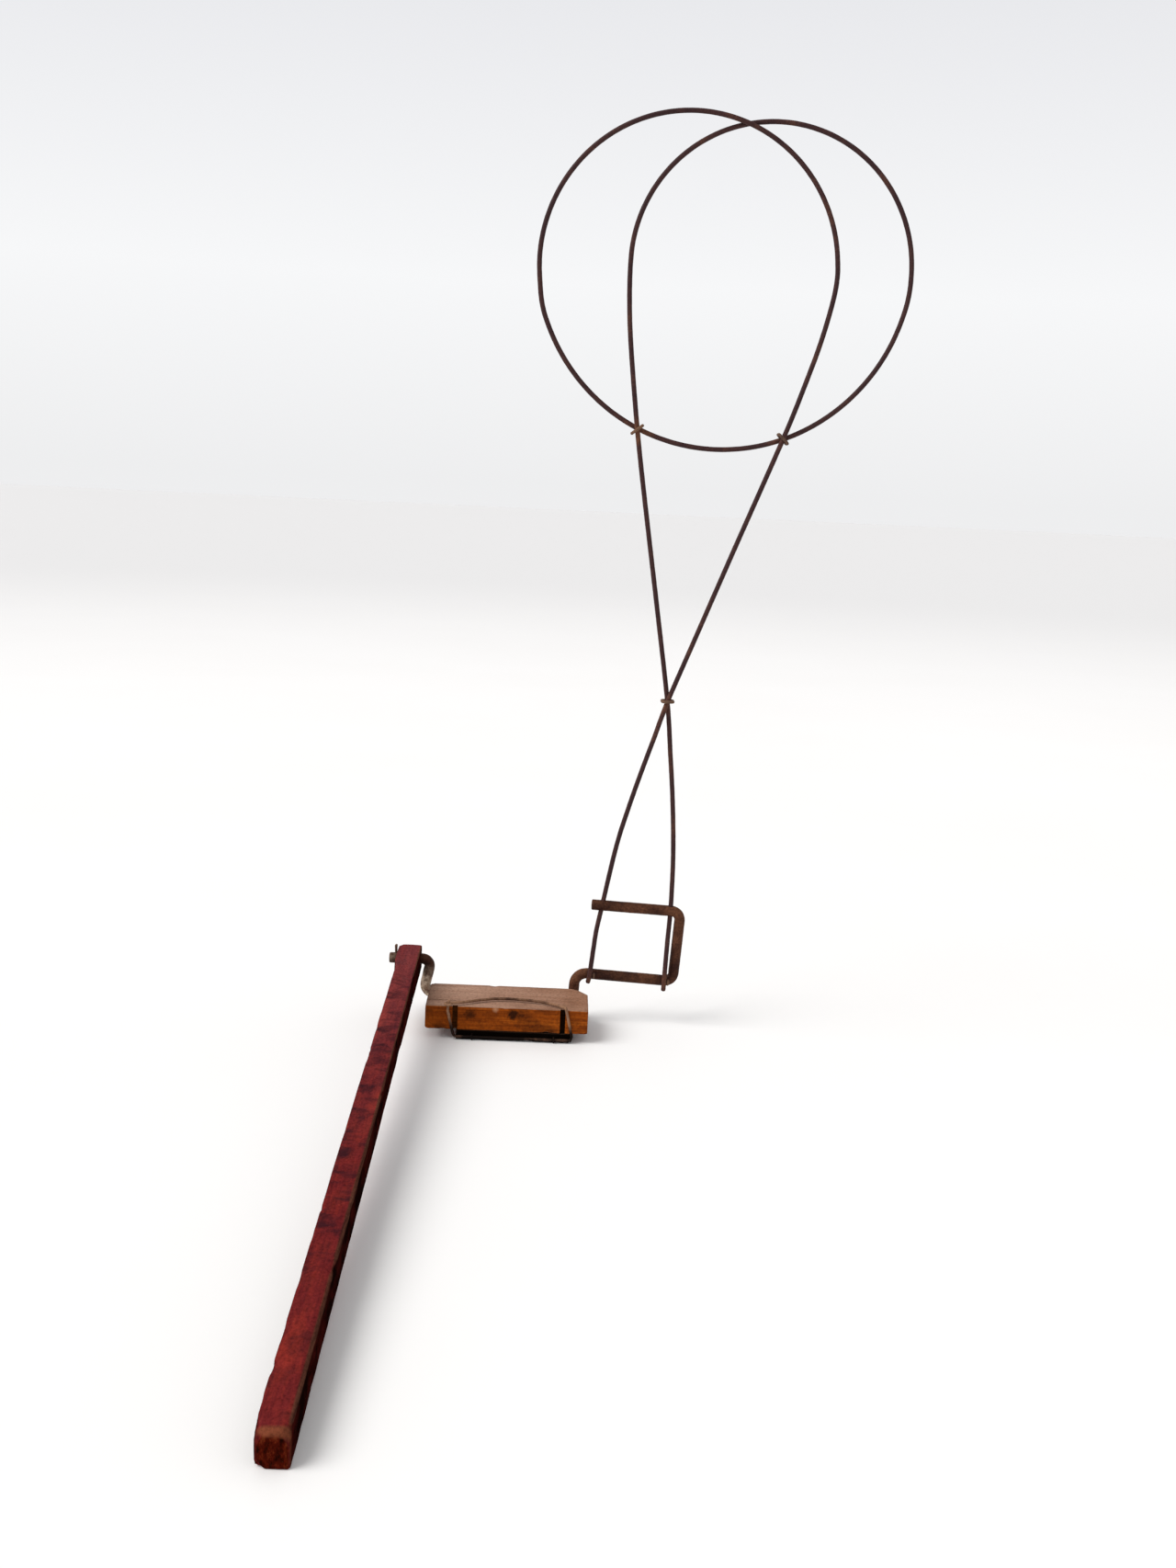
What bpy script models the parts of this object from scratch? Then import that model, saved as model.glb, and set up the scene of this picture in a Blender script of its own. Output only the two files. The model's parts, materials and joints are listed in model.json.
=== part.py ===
"""Hand-lever hoop frame: a wire double hoop that stands on a cranked iron rod.

The rod's long straight run is a shaft, stapled behind a small wooden block. Its left
end is a crank stub that carries a long wooden lever, and its right end is bent into a
C that holds the hoop. A wire bail swings over the block's front edge.

World frame, metres: +X runs along the shaft from the lever to the hoop, +Y away from
the lever's free end, +Z up. The origin is the middle of the foot bar's underside.
"""
import math

import bmesh
import bpy
from mathutils import Matrix, Vector

# ---- driving dimensions, metres ----
GAP = 0.0003                      # between neighbours that touch on the real object

FOOT_LENGTH = 0.100
FOOT_DEPTH = 0.085                # reaches back under the shaft, which it must balance
FOOT_THICK = 0.008

BLOCK_LENGTH = 0.1397
BLOCK_DEPTH = 0.066
BLOCK_THICK = 0.0206
BLOCK_OVERHANG = 0.013            # past the foot bar's right end
CHAMFER_X = 0.0103                # sawn-off corner, back right
CHAMFER_Y = 0.0165
NOTCH_WIDTH = 0.0045
NOTCH_DEPTH = 0.003
NOTCH_X = (-0.0510, 0.0412)

ROD_RADIUS = 0.00475
CRANK_THROW = 0.0309              # shaft axis to lever stub axis
# Corners of the bent rod in the crank's own plane: along X, height over the shaft axis.
ROD_CORNERS = (
    (-0.1150, CRANK_THROW),       # sawn end of the lever stub
    (-0.0775, CRANK_THROW),
    (-0.0837, 0.0),               # left end of the shaft
    (0.0502, 0.0),                # right end of the shaft
    (0.0514, 0.0241),
    (0.1387, 0.0196),             # bottom bar of the C
    (0.1425, 0.0838),
    (0.0630, 0.0870),             # sawn end of the C's top bar
)
ROD_BENDS = (0.0063, 0.0075, 0.0080, 0.0105, 0.0075, 0.0080)

WIRE_RADIUS = 0.0021
STRAND_LIFT = 0.00245             # half the spacing of two strands that cross
FRONT_OF_BAR = -(ROD_RADIUS + WIRE_RADIUS + GAP)
HOLE_CLEARANCE = 0.0005

# The hoop's three arcs in the crank's plane: centre along X and over the shaft, radius.
BOTTOM_ARC = (0.1490, 0.6463, 0.1580)
LEFT_ARC = (0.1186, 0.6358, 0.1244)
RIGHT_ARC = (0.1880, 0.6378, 0.1178)
LEFT_TIE = (0.0826, 0.5018)
RIGHT_TIE = (0.2065, 0.4994)
NECK = (0.1207, 0.2715)
TOP_CROSSING_DEG = 68.8           # on the left arc

CLIP_RADIUS = 0.0013
# Each clip: where it is, its slope across the pair of strands, half its width.
CLIPS = {
    "hoop_clip_left": (LEFT_TIE, 38.0, 0.0054),
    "hoop_clip_right": (RIGHT_TIE, 135.6, 0.0053),
    "neck_clip": (NECK, 0.0, 0.0047),
}

STAPLE_RADIUS = 0.0012
SHAFT_STAPLE_X = (-0.052, 0.022)
BAIL_STAPLE_X = (-0.036, 0.034)
BAIL_STAPLE_RADIUS = 0.0006
BAIL_RADIUS = 0.0012
BAIL_AXIS_Z = 0.0028

LEVER_WIDTH = 0.0184
LEVER_HEIGHT = 0.0216
LEVER_REACH = 0.7285              # stub axis to the nose
LEVER_TAIL = 0.0130               # stub axis to the head end
LEVER_RIGHT_X = -0.0869           # just clear of the crank arm all the way round
STUB_BELOW_TOP = 0.0088
HEAD_EXTRA = 0.0022               # the head is this much wider, on its left
HEAD_LENGTH = 0.065
COTTER_X = -0.1091

NAIL_RADIUS = 0.0012
NAIL_HEAD_RADIUS = 0.00275
NAIL_LENGTH = 0.019
NAIL_X = 0.040
NAIL_Y = (0.013, 0.050)           # behind the foot bar's front face

# ---- places that follow from them ----
BLOCK_RIGHT = FOOT_LENGTH / 2 + BLOCK_OVERHANG
BLOCK_LEFT = BLOCK_RIGHT - BLOCK_LENGTH
FRONT = -FOOT_DEPTH / 2
BACK = FRONT + BLOCK_DEPTH
BLOCK_BASE = FOOT_THICK + GAP
BLOCK_TOP = BLOCK_BASE + BLOCK_THICK
SHAFT = Vector((0.0, BACK + GAP + ROD_RADIUS, BLOCK_BASE + BLOCK_THICK / 2))
STUB = SHAFT + Vector((0.0, 0.0, CRANK_THROW))
BAIL_AXIS = Vector((0.0, FRONT - GAP - BAIL_RADIUS, BAIL_AXIS_Z))
UNDER_STUB = LEVER_HEIGHT - STUB_BELOW_TOP


def lever_tilt():
    """Angle at which the lever's lower nose edge just meets the ground."""
    reach = math.hypot(LEVER_REACH, UNDER_STUB)
    return math.asin(STUB.z / reach) - math.atan2(UNDER_STUB, LEVER_REACH)


# ---- scene helpers ----
def clear_scene():
    for obj in list(bpy.data.objects):
        bpy.data.objects.remove(obj, do_unlink=True)


def new_collection(name):
    collection = bpy.data.collections.new(name)
    bpy.context.scene.collection.children.link(collection)
    return collection


def new_material(name, color, roughness, metallic):
    material = bpy.data.materials.new(name)
    material.use_nodes = True
    shader = material.node_tree.nodes["Principled BSDF"]
    shader.inputs["Base Color"].default_value = (*color, 1.0)
    shader.inputs["Roughness"].default_value = roughness
    shader.inputs["Metallic"].default_value = metallic
    material.diffuse_color = (*color, 1.0)
    return material


def add_empty(name, place, parent=None):
    empty = bpy.data.objects.new(name, None)
    empty.empty_display_size = 0.02
    PARTS.objects.link(empty)
    empty.parent = parent
    empty.location = place - (parent.location if parent else Vector())
    return empty


def add_part(name, data, material, parent=None, place=(0.0, 0.0, 0.0)):
    obj = bpy.data.objects.new(name, data)
    PARTS.objects.link(obj)
    data.materials.append(material)
    obj.parent = parent
    obj.location = place
    return obj


def add_cutter(name, data, parent=None, matrix=None):
    cutter = bpy.data.objects.new(name, data)
    CUTTERS.objects.link(cutter)
    cutter.parent = parent
    cutter.matrix_local = matrix or Matrix.Identity(4)
    cutter.hide_render = True
    cutter.display_type = "WIRE"
    return cutter


def cut(obj, cutter):
    boolean = obj.modifiers.new(cutter.name, "BOOLEAN")
    boolean.operation = "DIFFERENCE"
    boolean.solver = "EXACT"
    boolean.object = cutter


def round_edges(obj, width, segments=1, angle_deg=40.0):
    bevel = obj.modifiers.new("worn edges", "BEVEL")
    bevel.width = width
    bevel.segments = segments
    bevel.limit_method = "ANGLE"
    bevel.angle_limit = math.radians(angle_deg)


# ---- meshes ----
def box_mesh(name, low, high):
    low, high = Vector(low), Vector(high)
    bm = bmesh.new()
    bmesh.ops.create_cube(bm, size=1.0)
    bmesh.ops.scale(bm, vec=high - low, verts=bm.verts)
    bmesh.ops.translate(bm, vec=(low + high) / 2, verts=bm.verts)
    mesh = bpy.data.meshes.new(name)
    bm.to_mesh(mesh)
    bm.free()
    return mesh


def cylinder_mesh(name, radius, length, sides=16):
    """A cylinder along Z, centred on the origin."""
    bm = bmesh.new()
    bmesh.ops.create_cone(
        bm, cap_ends=True, segments=sides, radius1=radius, radius2=radius, depth=length
    )
    mesh = bpy.data.meshes.new(name)
    bm.to_mesh(mesh)
    bm.free()
    return mesh


def bead_mesh(name, size):
    bm = bmesh.new()
    bmesh.ops.create_uvsphere(bm, u_segments=12, v_segments=8, radius=0.5)
    bmesh.ops.scale(bm, vec=size, verts=bm.verts)
    mesh = bpy.data.meshes.new(name)
    bm.to_mesh(mesh)
    bm.free()
    return mesh


# ---- paths and wires ----
def bent_path(corners, radii, arc_deg=12.0):
    """The polyline through corners, with each inner corner rounded to its radius."""
    points = [Vector(corners[0])]
    for before, corner, after, radius in zip(corners, corners[1:], corners[2:], radii):
        corner = Vector(corner)
        back = (Vector(before) - corner).normalized()
        ahead = (Vector(after) - corner).normalized()
        half = back.angle(ahead) / 2
        center = corner + (back + ahead).normalized() * (radius / math.sin(half))
        start = corner + back * (radius / math.tan(half)) - center
        end = corner + ahead * (radius / math.tan(half)) - center
        sweep = math.pi - 2 * half
        steps = max(2, math.ceil(math.degrees(sweep) / arc_deg))
        for step in range(steps + 1):
            t = step / steps
            a = math.sin((1 - t) * sweep) / math.sin(sweep)
            b = math.sin(t * sweep) / math.sin(sweep)
            points.append(center + start * a + end * b)
    points.append(Vector(corners[-1]))
    return points


def smooth_path(stations, step):
    """A Catmull-Rom curve through the stations, with a point about every step."""
    ends = [2 * stations[0] - stations[1]], [2 * stations[-1] - stations[-2]]
    chain = ends[0] + stations + ends[1]
    points = [stations[0]]
    for a, b, c, d in zip(chain, chain[1:], chain[2:], chain[3:]):
        count = max(1, round((c - b).length / step))
        for index in range(1, count + 1):
            t = index / count
            points.append(0.5 * (
                2 * b + (c - a) * t + (2 * a - 5 * b + 4 * c - d) * t * t
                + (3 * b - a - 3 * c + d) * t ** 3
            ))
    return points


def wire_curve(name, points, radius, resolution=2):
    curve = bpy.data.curves.new(name, "CURVE")
    curve.dimensions = "3D"
    curve.bevel_depth = radius
    curve.bevel_resolution = resolution
    curve.render_resolution_u = 0
    curve.use_fill_caps = True
    spline = curve.splines.new("POLY")
    spline.points.add(len(points) - 1)
    for target, point in zip(spline.points, points):
        target.co = (*point, 1.0)
    return curve


def plate_curve(name, outline, thickness):
    """A flat outline in XY with half its thickness on each side of it."""
    curve = bpy.data.curves.new(name, "CURVE")
    curve.dimensions = "2D"
    curve.fill_mode = "BOTH"
    curve.extrude = thickness / 2
    spline = curve.splines.new("POLY")
    spline.points.add(len(outline) - 1)
    for target, (x, y) in zip(spline.points, outline):
        target.co = (x, y, 0.0, 1.0)
    spline.use_cyclic_u = True
    return curve


def curve_to_mesh_object(obj):
    """Swap a curve object for a closed mesh object at the same place."""
    name, parent = obj.name, obj.parent
    bpy.context.view_layer.update()
    placed = obj.matrix_world.copy()
    mesh = bpy.data.meshes.new_from_object(obj.evaluated_get(
        bpy.context.evaluated_depsgraph_get()))
    bpy.data.objects.remove(obj, do_unlink=True)
    bm = bmesh.new()
    bm.from_mesh(mesh)
    bmesh.ops.remove_doubles(bm, verts=bm.verts, dist=0.00001)
    bm.to_mesh(mesh)
    bm.free()
    solid = bpy.data.objects.new(name, mesh)
    PARTS.objects.link(solid)
    solid.parent = parent
    solid.matrix_world = placed
    return solid


# ---- wooden base ----
def make_bearing_block(wood):
    low = (BLOCK_LEFT, FRONT, BLOCK_BASE)
    high = (BLOCK_RIGHT, BACK, BLOCK_TOP)
    block = add_part("bearing_block", box_mesh("bearing_block", low, high), wood)
    round_edges(block, 0.0008)

    half = math.hypot(CHAMFER_X, CHAMFER_Y)
    corner = box_mesh("corner_cut", (-half, 0.0, -0.03), (half, 0.03, 0.03))
    middle = Vector((BLOCK_RIGHT - CHAMFER_X / 2, BACK - CHAMFER_Y / 2, BLOCK_TOP))
    turn = Matrix.Rotation(-math.atan2(CHAMFER_Y, CHAMFER_X), 4, "Z")
    cut(block, add_cutter("corner_cut", corner, matrix=Matrix.Translation(middle) @ turn))

    for index, x in enumerate(NOTCH_X, start=1):
        low = (x - NOTCH_WIDTH / 2, FRONT - 0.005, BLOCK_BASE - 0.005)
        high = (x + NOTCH_WIDTH / 2, FRONT + NOTCH_DEPTH, BLOCK_TOP + 0.005)
        cut(block, add_cutter(f"notch_{index}", box_mesh(f"notch_{index}", low, high)))
    return block


def make_foot_bar(wood):
    low = (-FOOT_LENGTH / 2, FRONT, 0.0)
    high = (FOOT_LENGTH / 2, FRONT + FOOT_DEPTH, FOOT_THICK)
    foot = add_part("foot_bar", box_mesh("foot_bar", low, high), wood)
    round_edges(foot, 0.0006)
    return foot


def make_foot_nails(iron, block, foot):
    """Four nails driven up through the foot bar, their heads sunk in its underside."""
    head_at, spare = 0.0008, 0.0006
    hole_depth = head_at + NAIL_LENGTH + spare
    spots = [(x, FRONT + y) for y in NAIL_Y for x in (-NAIL_X, NAIL_X)]
    for index, (x, y) in enumerate(spots, start=1):
        place = Vector((x, y, head_at))
        bm = bmesh.new()
        profile = (
            (0.0, NAIL_LENGTH), (NAIL_RADIUS * 0.4, NAIL_LENGTH - 0.0012),
            (NAIL_RADIUS, NAIL_LENGTH - 0.004), (NAIL_RADIUS, 0.0014),
            (NAIL_HEAD_RADIUS, 0.0010), (NAIL_HEAD_RADIUS, 0.0), (0.0, 0.0),
        )
        ring = [bm.verts.new((r, 0.0, z)) for r, z in profile]
        for a, b in zip(ring, ring[1:]):
            bm.edges.new((a, b))
        mesh = bpy.data.meshes.new(f"foot_nail_{index}")
        bm.to_mesh(mesh)
        bm.free()
        nail = add_part(f"foot_nail_{index}", mesh, iron, place=place)
        turn = nail.modifiers.new("turned", "SCREW")
        turn.steps = turn.render_steps = 10
        turn.use_merge_vertices = True
        turn.merge_threshold = 0.00001

        shank = cylinder_mesh(f"nail_hole_{index}", NAIL_RADIUS + GAP, 2 * hole_depth)
        shank_at = Matrix.Translation((place.x, place.y, 0.0))
        hole = add_cutter(f"nail_hole_{index}", shank, matrix=shank_at)
        cut(foot, hole)
        cut(block, hole)
        sink = cylinder_mesh(f"nail_sink_{index}", NAIL_HEAD_RADIUS + GAP, 0.0052)
        cut(foot, add_cutter(f"nail_sink_{index}", sink, matrix=shank_at))


def half_hoop_staple(axis_y, axis_z, radius, leg_end_y, steps=12):
    """A staple's path in a plane of constant X: leg, half turn round the axis, leg."""
    points = [Vector((0.0, leg_end_y, axis_z + radius))]
    side = 1.0 if axis_y > leg_end_y else -1.0
    for step in range(steps + 1):
        angle = math.pi * (0.5 - step / steps)
        points.append(Vector((
            0.0, axis_y + side * radius * math.cos(angle), axis_z + radius * math.sin(angle)
        )))
    points.append(Vector((0.0, leg_end_y, axis_z - radius)))
    return points


def add_staple(name, x, path, wire_radius, iron, host):
    staple = add_part(name, wire_curve(name, path, wire_radius), iron, place=(x, 0.0, 0.0))
    for index, end in enumerate((path[0], path[-1]), start=1):
        depth = abs(path[0].y - path[1].y) * 2
        name_hole = f"{name}_hole_{index}"
        drill = cylinder_mesh(name_hole, wire_radius + GAP, depth, sides=12)
        inward = -0.0008 if path[0].y < path[1].y else 0.0008
        centre = Vector((x, end.y + inward - math.copysign(depth / 2, inward), end.z))
        matrix = Matrix.Translation(centre) @ Matrix.Rotation(math.pi / 2, 4, "X")
        cut(host, add_cutter(name_hole, drill, matrix=matrix))
    return staple


def make_staples(iron, block, foot):
    loop = ROD_RADIUS + GAP + STAPLE_RADIUS
    path = half_hoop_staple(SHAFT.y, SHAFT.z, loop, BACK - 0.014)
    for side, x in zip(("left", "right"), SHAFT_STAPLE_X):
        add_staple(f"shaft_staple_{side}", x, path, STAPLE_RADIUS, iron, block)
    loop = BAIL_RADIUS + GAP + BAIL_STAPLE_RADIUS
    path = half_hoop_staple(BAIL_AXIS.y, BAIL_AXIS.z, loop, FRONT + 0.007, steps=8)
    for side, x in zip(("left", "right"), BAIL_STAPLE_X):
        add_staple(f"bail_staple_{side}", x, path, BAIL_STAPLE_RADIUS, iron, foot)


# ---- crank ----
def make_crank_rod(iron, crank):
    corners = [Vector((x, 0.0, z)) for x, z in ROD_CORNERS]
    rod = add_part("crank_rod", wire_curve("crank_rod", bent_path(corners, ROD_BENDS),
                                           ROD_RADIUS, resolution=4), iron, crank)
    return curve_to_mesh_object(rod)


def arc_stations(arc, start_deg, end_deg, step_deg=11.0):
    """Points in the crank's plane along one of the hoop's arcs."""
    center_x, center_z, radius = arc
    count = round(abs(end_deg - start_deg) / step_deg)
    stations = []
    for index in range(count + 1):
        angle = math.radians(start_deg + (end_deg - start_deg) * index / count)
        stations.append((center_x + radius * math.cos(angle),
                         center_z + radius * math.sin(angle)))
    return stations


def meeting_angle(outer, inner):
    """Where the inner arc touches the outer one from inside, degrees."""
    return math.degrees(math.atan2(inner[1] - outer[1], inner[0] - outer[0]))


def hoop_stations():
    """The hoop wire from the foot of its front strand to the foot of the other.

    Each station is (x, z, depth); depth is given where the wire must lie in front of
    the crank's plane (negative) or behind it, and is None where it may ease across.
    """
    front, behind = -STRAND_LIFT, STRAND_LIFT
    left_meets = meeting_angle(BOTTOM_ARC, LEFT_ARC) % 360
    right_meets = meeting_angle(BOTTOM_ARC, RIGHT_ARC)
    first = [
        (0.0623, 0.0149, FRONT_OF_BAR), (0.0639, 0.0235, FRONT_OF_BAR),
        (0.0652, 0.0360, FRONT_OF_BAR), (0.0683, 0.0640, None),
        (0.0714, 0.0805, 0.0), (0.0737, 0.0935, 0.0), (0.0826, 0.1415, None),
        (0.0912, 0.1749, None), (0.1009, 0.2081, None), (0.1113, 0.2412, None),
        (*NECK, front), (0.1399, 0.3229, None), (0.1700, 0.4032, None),
        (*RIGHT_TIE, front), (0.2222, 0.5452, None), (0.2340, 0.5840, None),
    ]
    over_left = arc_stations(LEFT_ARC, -6.0, TOP_CROSSING_DEG)
    down_left = arc_stations(LEFT_ARC, TOP_CROSSING_DEG, left_meets)[1:-1]
    tie_left_deg = math.degrees(math.atan2(
        LEFT_TIE[1] - BOTTOM_ARC[1], LEFT_TIE[0] - BOTTOM_ARC[0])) % 360
    tie_right_deg = math.degrees(math.atan2(
        RIGHT_TIE[1] - BOTTOM_ARC[1], RIGHT_TIE[0] - BOTTOM_ARC[0])) % 360
    to_left_tie = arc_stations(BOTTOM_ARC, left_meets, tie_left_deg)
    under = arc_stations(BOTTOM_ARC, tie_left_deg, tie_right_deg)[1:]
    to_right = arc_stations(BOTTOM_ARC, tie_right_deg, 360 + right_meets)[1:]
    crossing = over_left[-1]
    crossing_deg = math.degrees(math.atan2(
        crossing[1] - RIGHT_ARC[1], crossing[0] - RIGHT_ARC[0]))
    over_right = arc_stations(RIGHT_ARC, right_meets, crossing_deg)[1:]
    down_right = arc_stations(RIGHT_ARC, crossing_deg, 180.0)[1:]
    last = [
        (0.0710, 0.6030, None), (0.0743, 0.5660, None), (*LEFT_TIE, front),
        (0.0914, 0.4463, None), (0.1072, 0.3532, None), (*NECK, behind),
        (0.1258, 0.2256, None), (0.1292, 0.1930, None), (0.1318, 0.1602, None),
        (0.1334, 0.1270, None), (0.1336, 0.0905, 0.0), (0.1333, 0.0780, 0.0),
        (0.1322, 0.0600, None), (0.1310, 0.0340, FRONT_OF_BAR),
        (0.1306, 0.0208, FRONT_OF_BAR), (0.1303, 0.0105, FRONT_OF_BAR),
    ]

    def layer(points, depth_at_end):
        return [(*p, None) for p in points[:-1]] + [(*points[-1], depth_at_end)]

    ring = layer(over_left, front) + layer(down_left, None) + layer(to_left_tie, behind)
    ring += layer(under, behind) + layer(to_right, None) + layer(over_right, behind)
    ring += layer(down_right, None)
    return first + ring + last


def eased_depths(stations):
    """Fill the open depths with a smooth step along the wire between the given ones."""
    along = [0.0]
    for (x0, z0, _), (x1, z1, _) in zip(stations, stations[1:]):
        along.append(along[-1] + math.hypot(x1 - x0, z1 - z0))
    fixed = [i for i, station in enumerate(stations) if station[2] is not None]
    points = []
    for index, (x, z, depth) in enumerate(stations):
        if depth is None:
            before = max(i for i in fixed if i < index)
            after = min(i for i in fixed if i > index)
            t = (along[index] - along[before]) / (along[after] - along[before])
            t = t * t * (3 - 2 * t)
            depth = stations[before][2] * (1 - t) + stations[after][2] * t
        points.append(Vector((x, depth, z)))
    return points


def make_hoop_wire(iron, crank, rod):
    points = smooth_path(eased_depths(hoop_stations()), step=0.0135)
    add_part("hoop_wire", wire_curve("hoop_wire", points, WIRE_RADIUS), iron, crank)
    bar_start, bar_end = (Vector((x, 0.0, z)) for x, z in (ROD_CORNERS[-1], ROD_CORNERS[-2]))
    bar_slope = (bar_end.z - bar_start.z) / (bar_end.x - bar_start.x)
    half = len(points) // 2
    for side, strand in (("left", points[:half]), ("right", points[half:])):
        def over_bar(p):
            return p.z - (bar_start.z + (p.x - bar_start.x) * bar_slope)

        near = sorted(strand, key=lambda p: abs(over_bar(p)))[:2]
        low, high = sorted(near, key=lambda p: p.z)
        along = (high - low).normalized()
        centre = low - along * (over_bar(low) / (along.z - along.x * bar_slope))
        drill = cylinder_mesh(f"strand_hole_{side}", WIRE_RADIUS + HOLE_CLEARANCE, 0.03)
        turn = Vector((0.0, 0.0, 1.0)).rotation_difference(along).to_matrix().to_4x4()
        cut(rod, add_cutter(f"strand_hole_{side}", drill, crank,
                            Matrix.Translation(centre) @ turn))


def clip_path(slope_deg, half_width):
    """An open C of wire round a pair of crossing strands, its ends meeting behind."""
    depth = STRAND_LIFT + WIRE_RADIUS + GAP + CLIP_RADIUS
    outline = [(0.0009, depth), (half_width, depth), (half_width, -depth),
               (-half_width, -depth), (-half_width, depth), (-0.0009, depth)]
    across = Vector((math.cos(math.radians(slope_deg)), 0.0, math.sin(math.radians(slope_deg))))
    corners = [across * t + Vector((0.0, y, 0.0)) for t, y in outline]
    return bent_path(corners, [0.0028] * 4, arc_deg=22.0)


def make_clips(iron, crank):
    for name, ((x, z), slope, half_width) in CLIPS.items():
        curve = wire_curve(name, clip_path(slope, half_width), CLIP_RADIUS)
        add_part(name, curve, iron, crank, (x, 0.0, z))


def make_tack_welds(iron, crank):
    """A small bead beside each strand, in the crevice over the C's bottom bar."""
    size = (0.0024, 0.0022, 0.0050)
    beside = WIRE_RADIUS + GAP + size[0] / 2 + 0.0001
    before = -(ROD_RADIUS + GAP + size[1] / 2)
    for side, x, z in (("left", 0.0639, 0.0235), ("right", 0.1306, 0.0200)):
        name = f"tack_weld_{side}"
        add_part(name, bead_mesh(name, size), iron, crank, (x + beside, before, z))


def make_cotter_pin(iron, crank, rod):
    """A split pin down through the stub: eye below, two prongs spread above."""
    wire = 0.0007
    apart = wire + GAP / 2
    eye = 0.0024
    corners = [
        Vector((0.0, -0.0034, 0.0128)), Vector((0.0, -apart, 0.0064)),
        Vector((0.0, -apart, -0.0066)), Vector((0.0, -eye, -0.0088)),
        Vector((0.0, -eye, -0.0124)), Vector((0.0, eye, -0.0124)),
        Vector((0.0, eye, -0.0088)), Vector((0.0, apart, -0.0066)),
        Vector((0.0, apart, 0.0064)), Vector((0.0, 0.0026, 0.0118)),
    ]
    path = bent_path(corners, [0.0012, 0.0012, 0.0008, 0.0020, 0.0020, 0.0008, 0.0012, 0.0012],
                     arc_deg=25.0)
    place = (COTTER_X, 0.0, CRANK_THROW)
    add_part("cotter_pin", wire_curve("cotter_pin", path, wire), iron, crank, place)
    drill = cylinder_mesh("cotter_hole", 2 * wire + GAP * 1.5, 0.02)
    cut(rod, add_cutter("cotter_hole", drill, crank, Matrix.Translation(place)))


# ---- lever and bail ----
def make_push_lever(wood, lever):
    """Built along the lever's own -Y, from the head behind the stub to the nose."""
    right = LEVER_RIGHT_X
    left = right - LEVER_WIDTH
    tail, nose = LEVER_TAIL, -LEVER_REACH
    outline = (
        (right, tail), (left + 0.0016, tail), (left - HEAD_EXTRA, tail - 0.0050),
        (left - HEAD_EXTRA, tail - HEAD_LENGTH * 0.6), (left, tail - HEAD_LENGTH),
        (left, nose + 0.0040), (left + 0.0022, nose), (right - 0.0022, nose),
        (right, nose + 0.0040),
    )
    bar = add_part("push_lever", plate_curve("push_lever", outline, LEVER_HEIGHT), wood, lever)
    middle = Matrix.Translation((0.0, 0.0, LEVER_HEIGHT / 2 - UNDER_STUB))
    bar.matrix_local = Matrix.Rotation(lever_tilt(), 4, "X") @ middle
    bar = curve_to_mesh_object(bar)
    round_edges(bar, 0.0012, segments=2, angle_deg=60.0)
    bore = cylinder_mesh("stub_bore", ROD_RADIUS + GAP + 0.0002, 0.06, sides=24)
    across = Matrix.Translation((right - LEVER_WIDTH / 2, 0.0, 0.0))
    cut(bar, add_cutter("stub_bore", bore, lever, across @ Matrix.Rotation(math.pi / 2, 4, "Y")))
    return bar


def make_bail_wire(iron, bail):
    """One wire: up the left leg, and from it round the bottom bar to the bow's hook."""
    over = BLOCK_TOP + GAP + BAIL_RADIUS + 0.0008 - BAIL_AXIS.z
    leg_top = Vector((-0.0567, 0.0, over))
    corners = [
        leg_top + Vector((0.0006, 0.0, 0.0036)), leg_top, Vector((-0.0575, 0.0, 0.0235)),
        Vector((-0.0517, 0.0, 0.0)), Vector((0.0502, 0.0, 0.0)), Vector((0.0446, 0.0, 0.0245)),
    ]
    frame = bent_path(corners, [0.004, 0.010, 0.003, 0.003], arc_deg=20.0)[:-1]
    bow = [
        Vector((0.0448, 0.0, 0.0240)), Vector((0.0438, 0.0, over - 0.0008)),
        Vector((0.0415, 0.0022, over + 0.0004)), Vector((0.0320, 0.0110, over)),
        Vector((0.0180, 0.0178, over)), Vector((0.0, 0.0212, over)),
        Vector((-0.0170, 0.0202, over)), Vector((-0.0310, 0.0146, over)),
        Vector((-0.0430, 0.0076, over)), Vector((-0.0510, 0.0042, over)),
    ]
    hook_radius = 2 * BAIL_RADIUS + GAP + 0.0002
    hook = []
    for degrees in range(90, 331, 30):
        angle = math.radians(degrees)
        hook.append(leg_top + Vector((math.cos(angle), math.sin(angle), 0.0)) * hook_radius)
    path = frame + smooth_path(bow + hook, step=0.004)[1:]
    return add_part("bail_wire", wire_curve("bail_wire", path, BAIL_RADIUS), iron, bail)


def main():
    block_wood = new_material("block_wood", (0.42, 0.17, 0.05), 0.55, 0.0)
    dark_wood = new_material("dark_wood", (0.03, 0.022, 0.018), 0.7, 0.0)
    red_paint = new_material("red_paint", (0.20, 0.022, 0.022), 0.5, 0.0)
    rod_iron = new_material("rod_iron", (0.10, 0.055, 0.035), 0.6, 0.7)
    wire_iron = new_material("wire_iron", (0.07, 0.045, 0.04), 0.55, 0.7)
    clip_iron = new_material("clip_iron", (0.18, 0.09, 0.05), 0.65, 0.6)

    block = make_bearing_block(block_wood)
    foot = make_foot_bar(dark_wood)
    make_foot_nails(clip_iron, block, foot)
    make_staples(clip_iron, block, foot)

    crank = add_empty("crank_axis", SHAFT)
    rod = make_crank_rod(rod_iron, crank)
    make_hoop_wire(wire_iron, crank, rod)
    make_clips(clip_iron, crank)
    make_tack_welds(clip_iron, crank)
    make_cotter_pin(clip_iron, crank, rod)

    make_push_lever(red_paint, add_empty("lever_axis", STUB, crank))
    make_bail_wire(wire_iron, add_empty("bail_axis", BAIL_AXIS))


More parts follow.
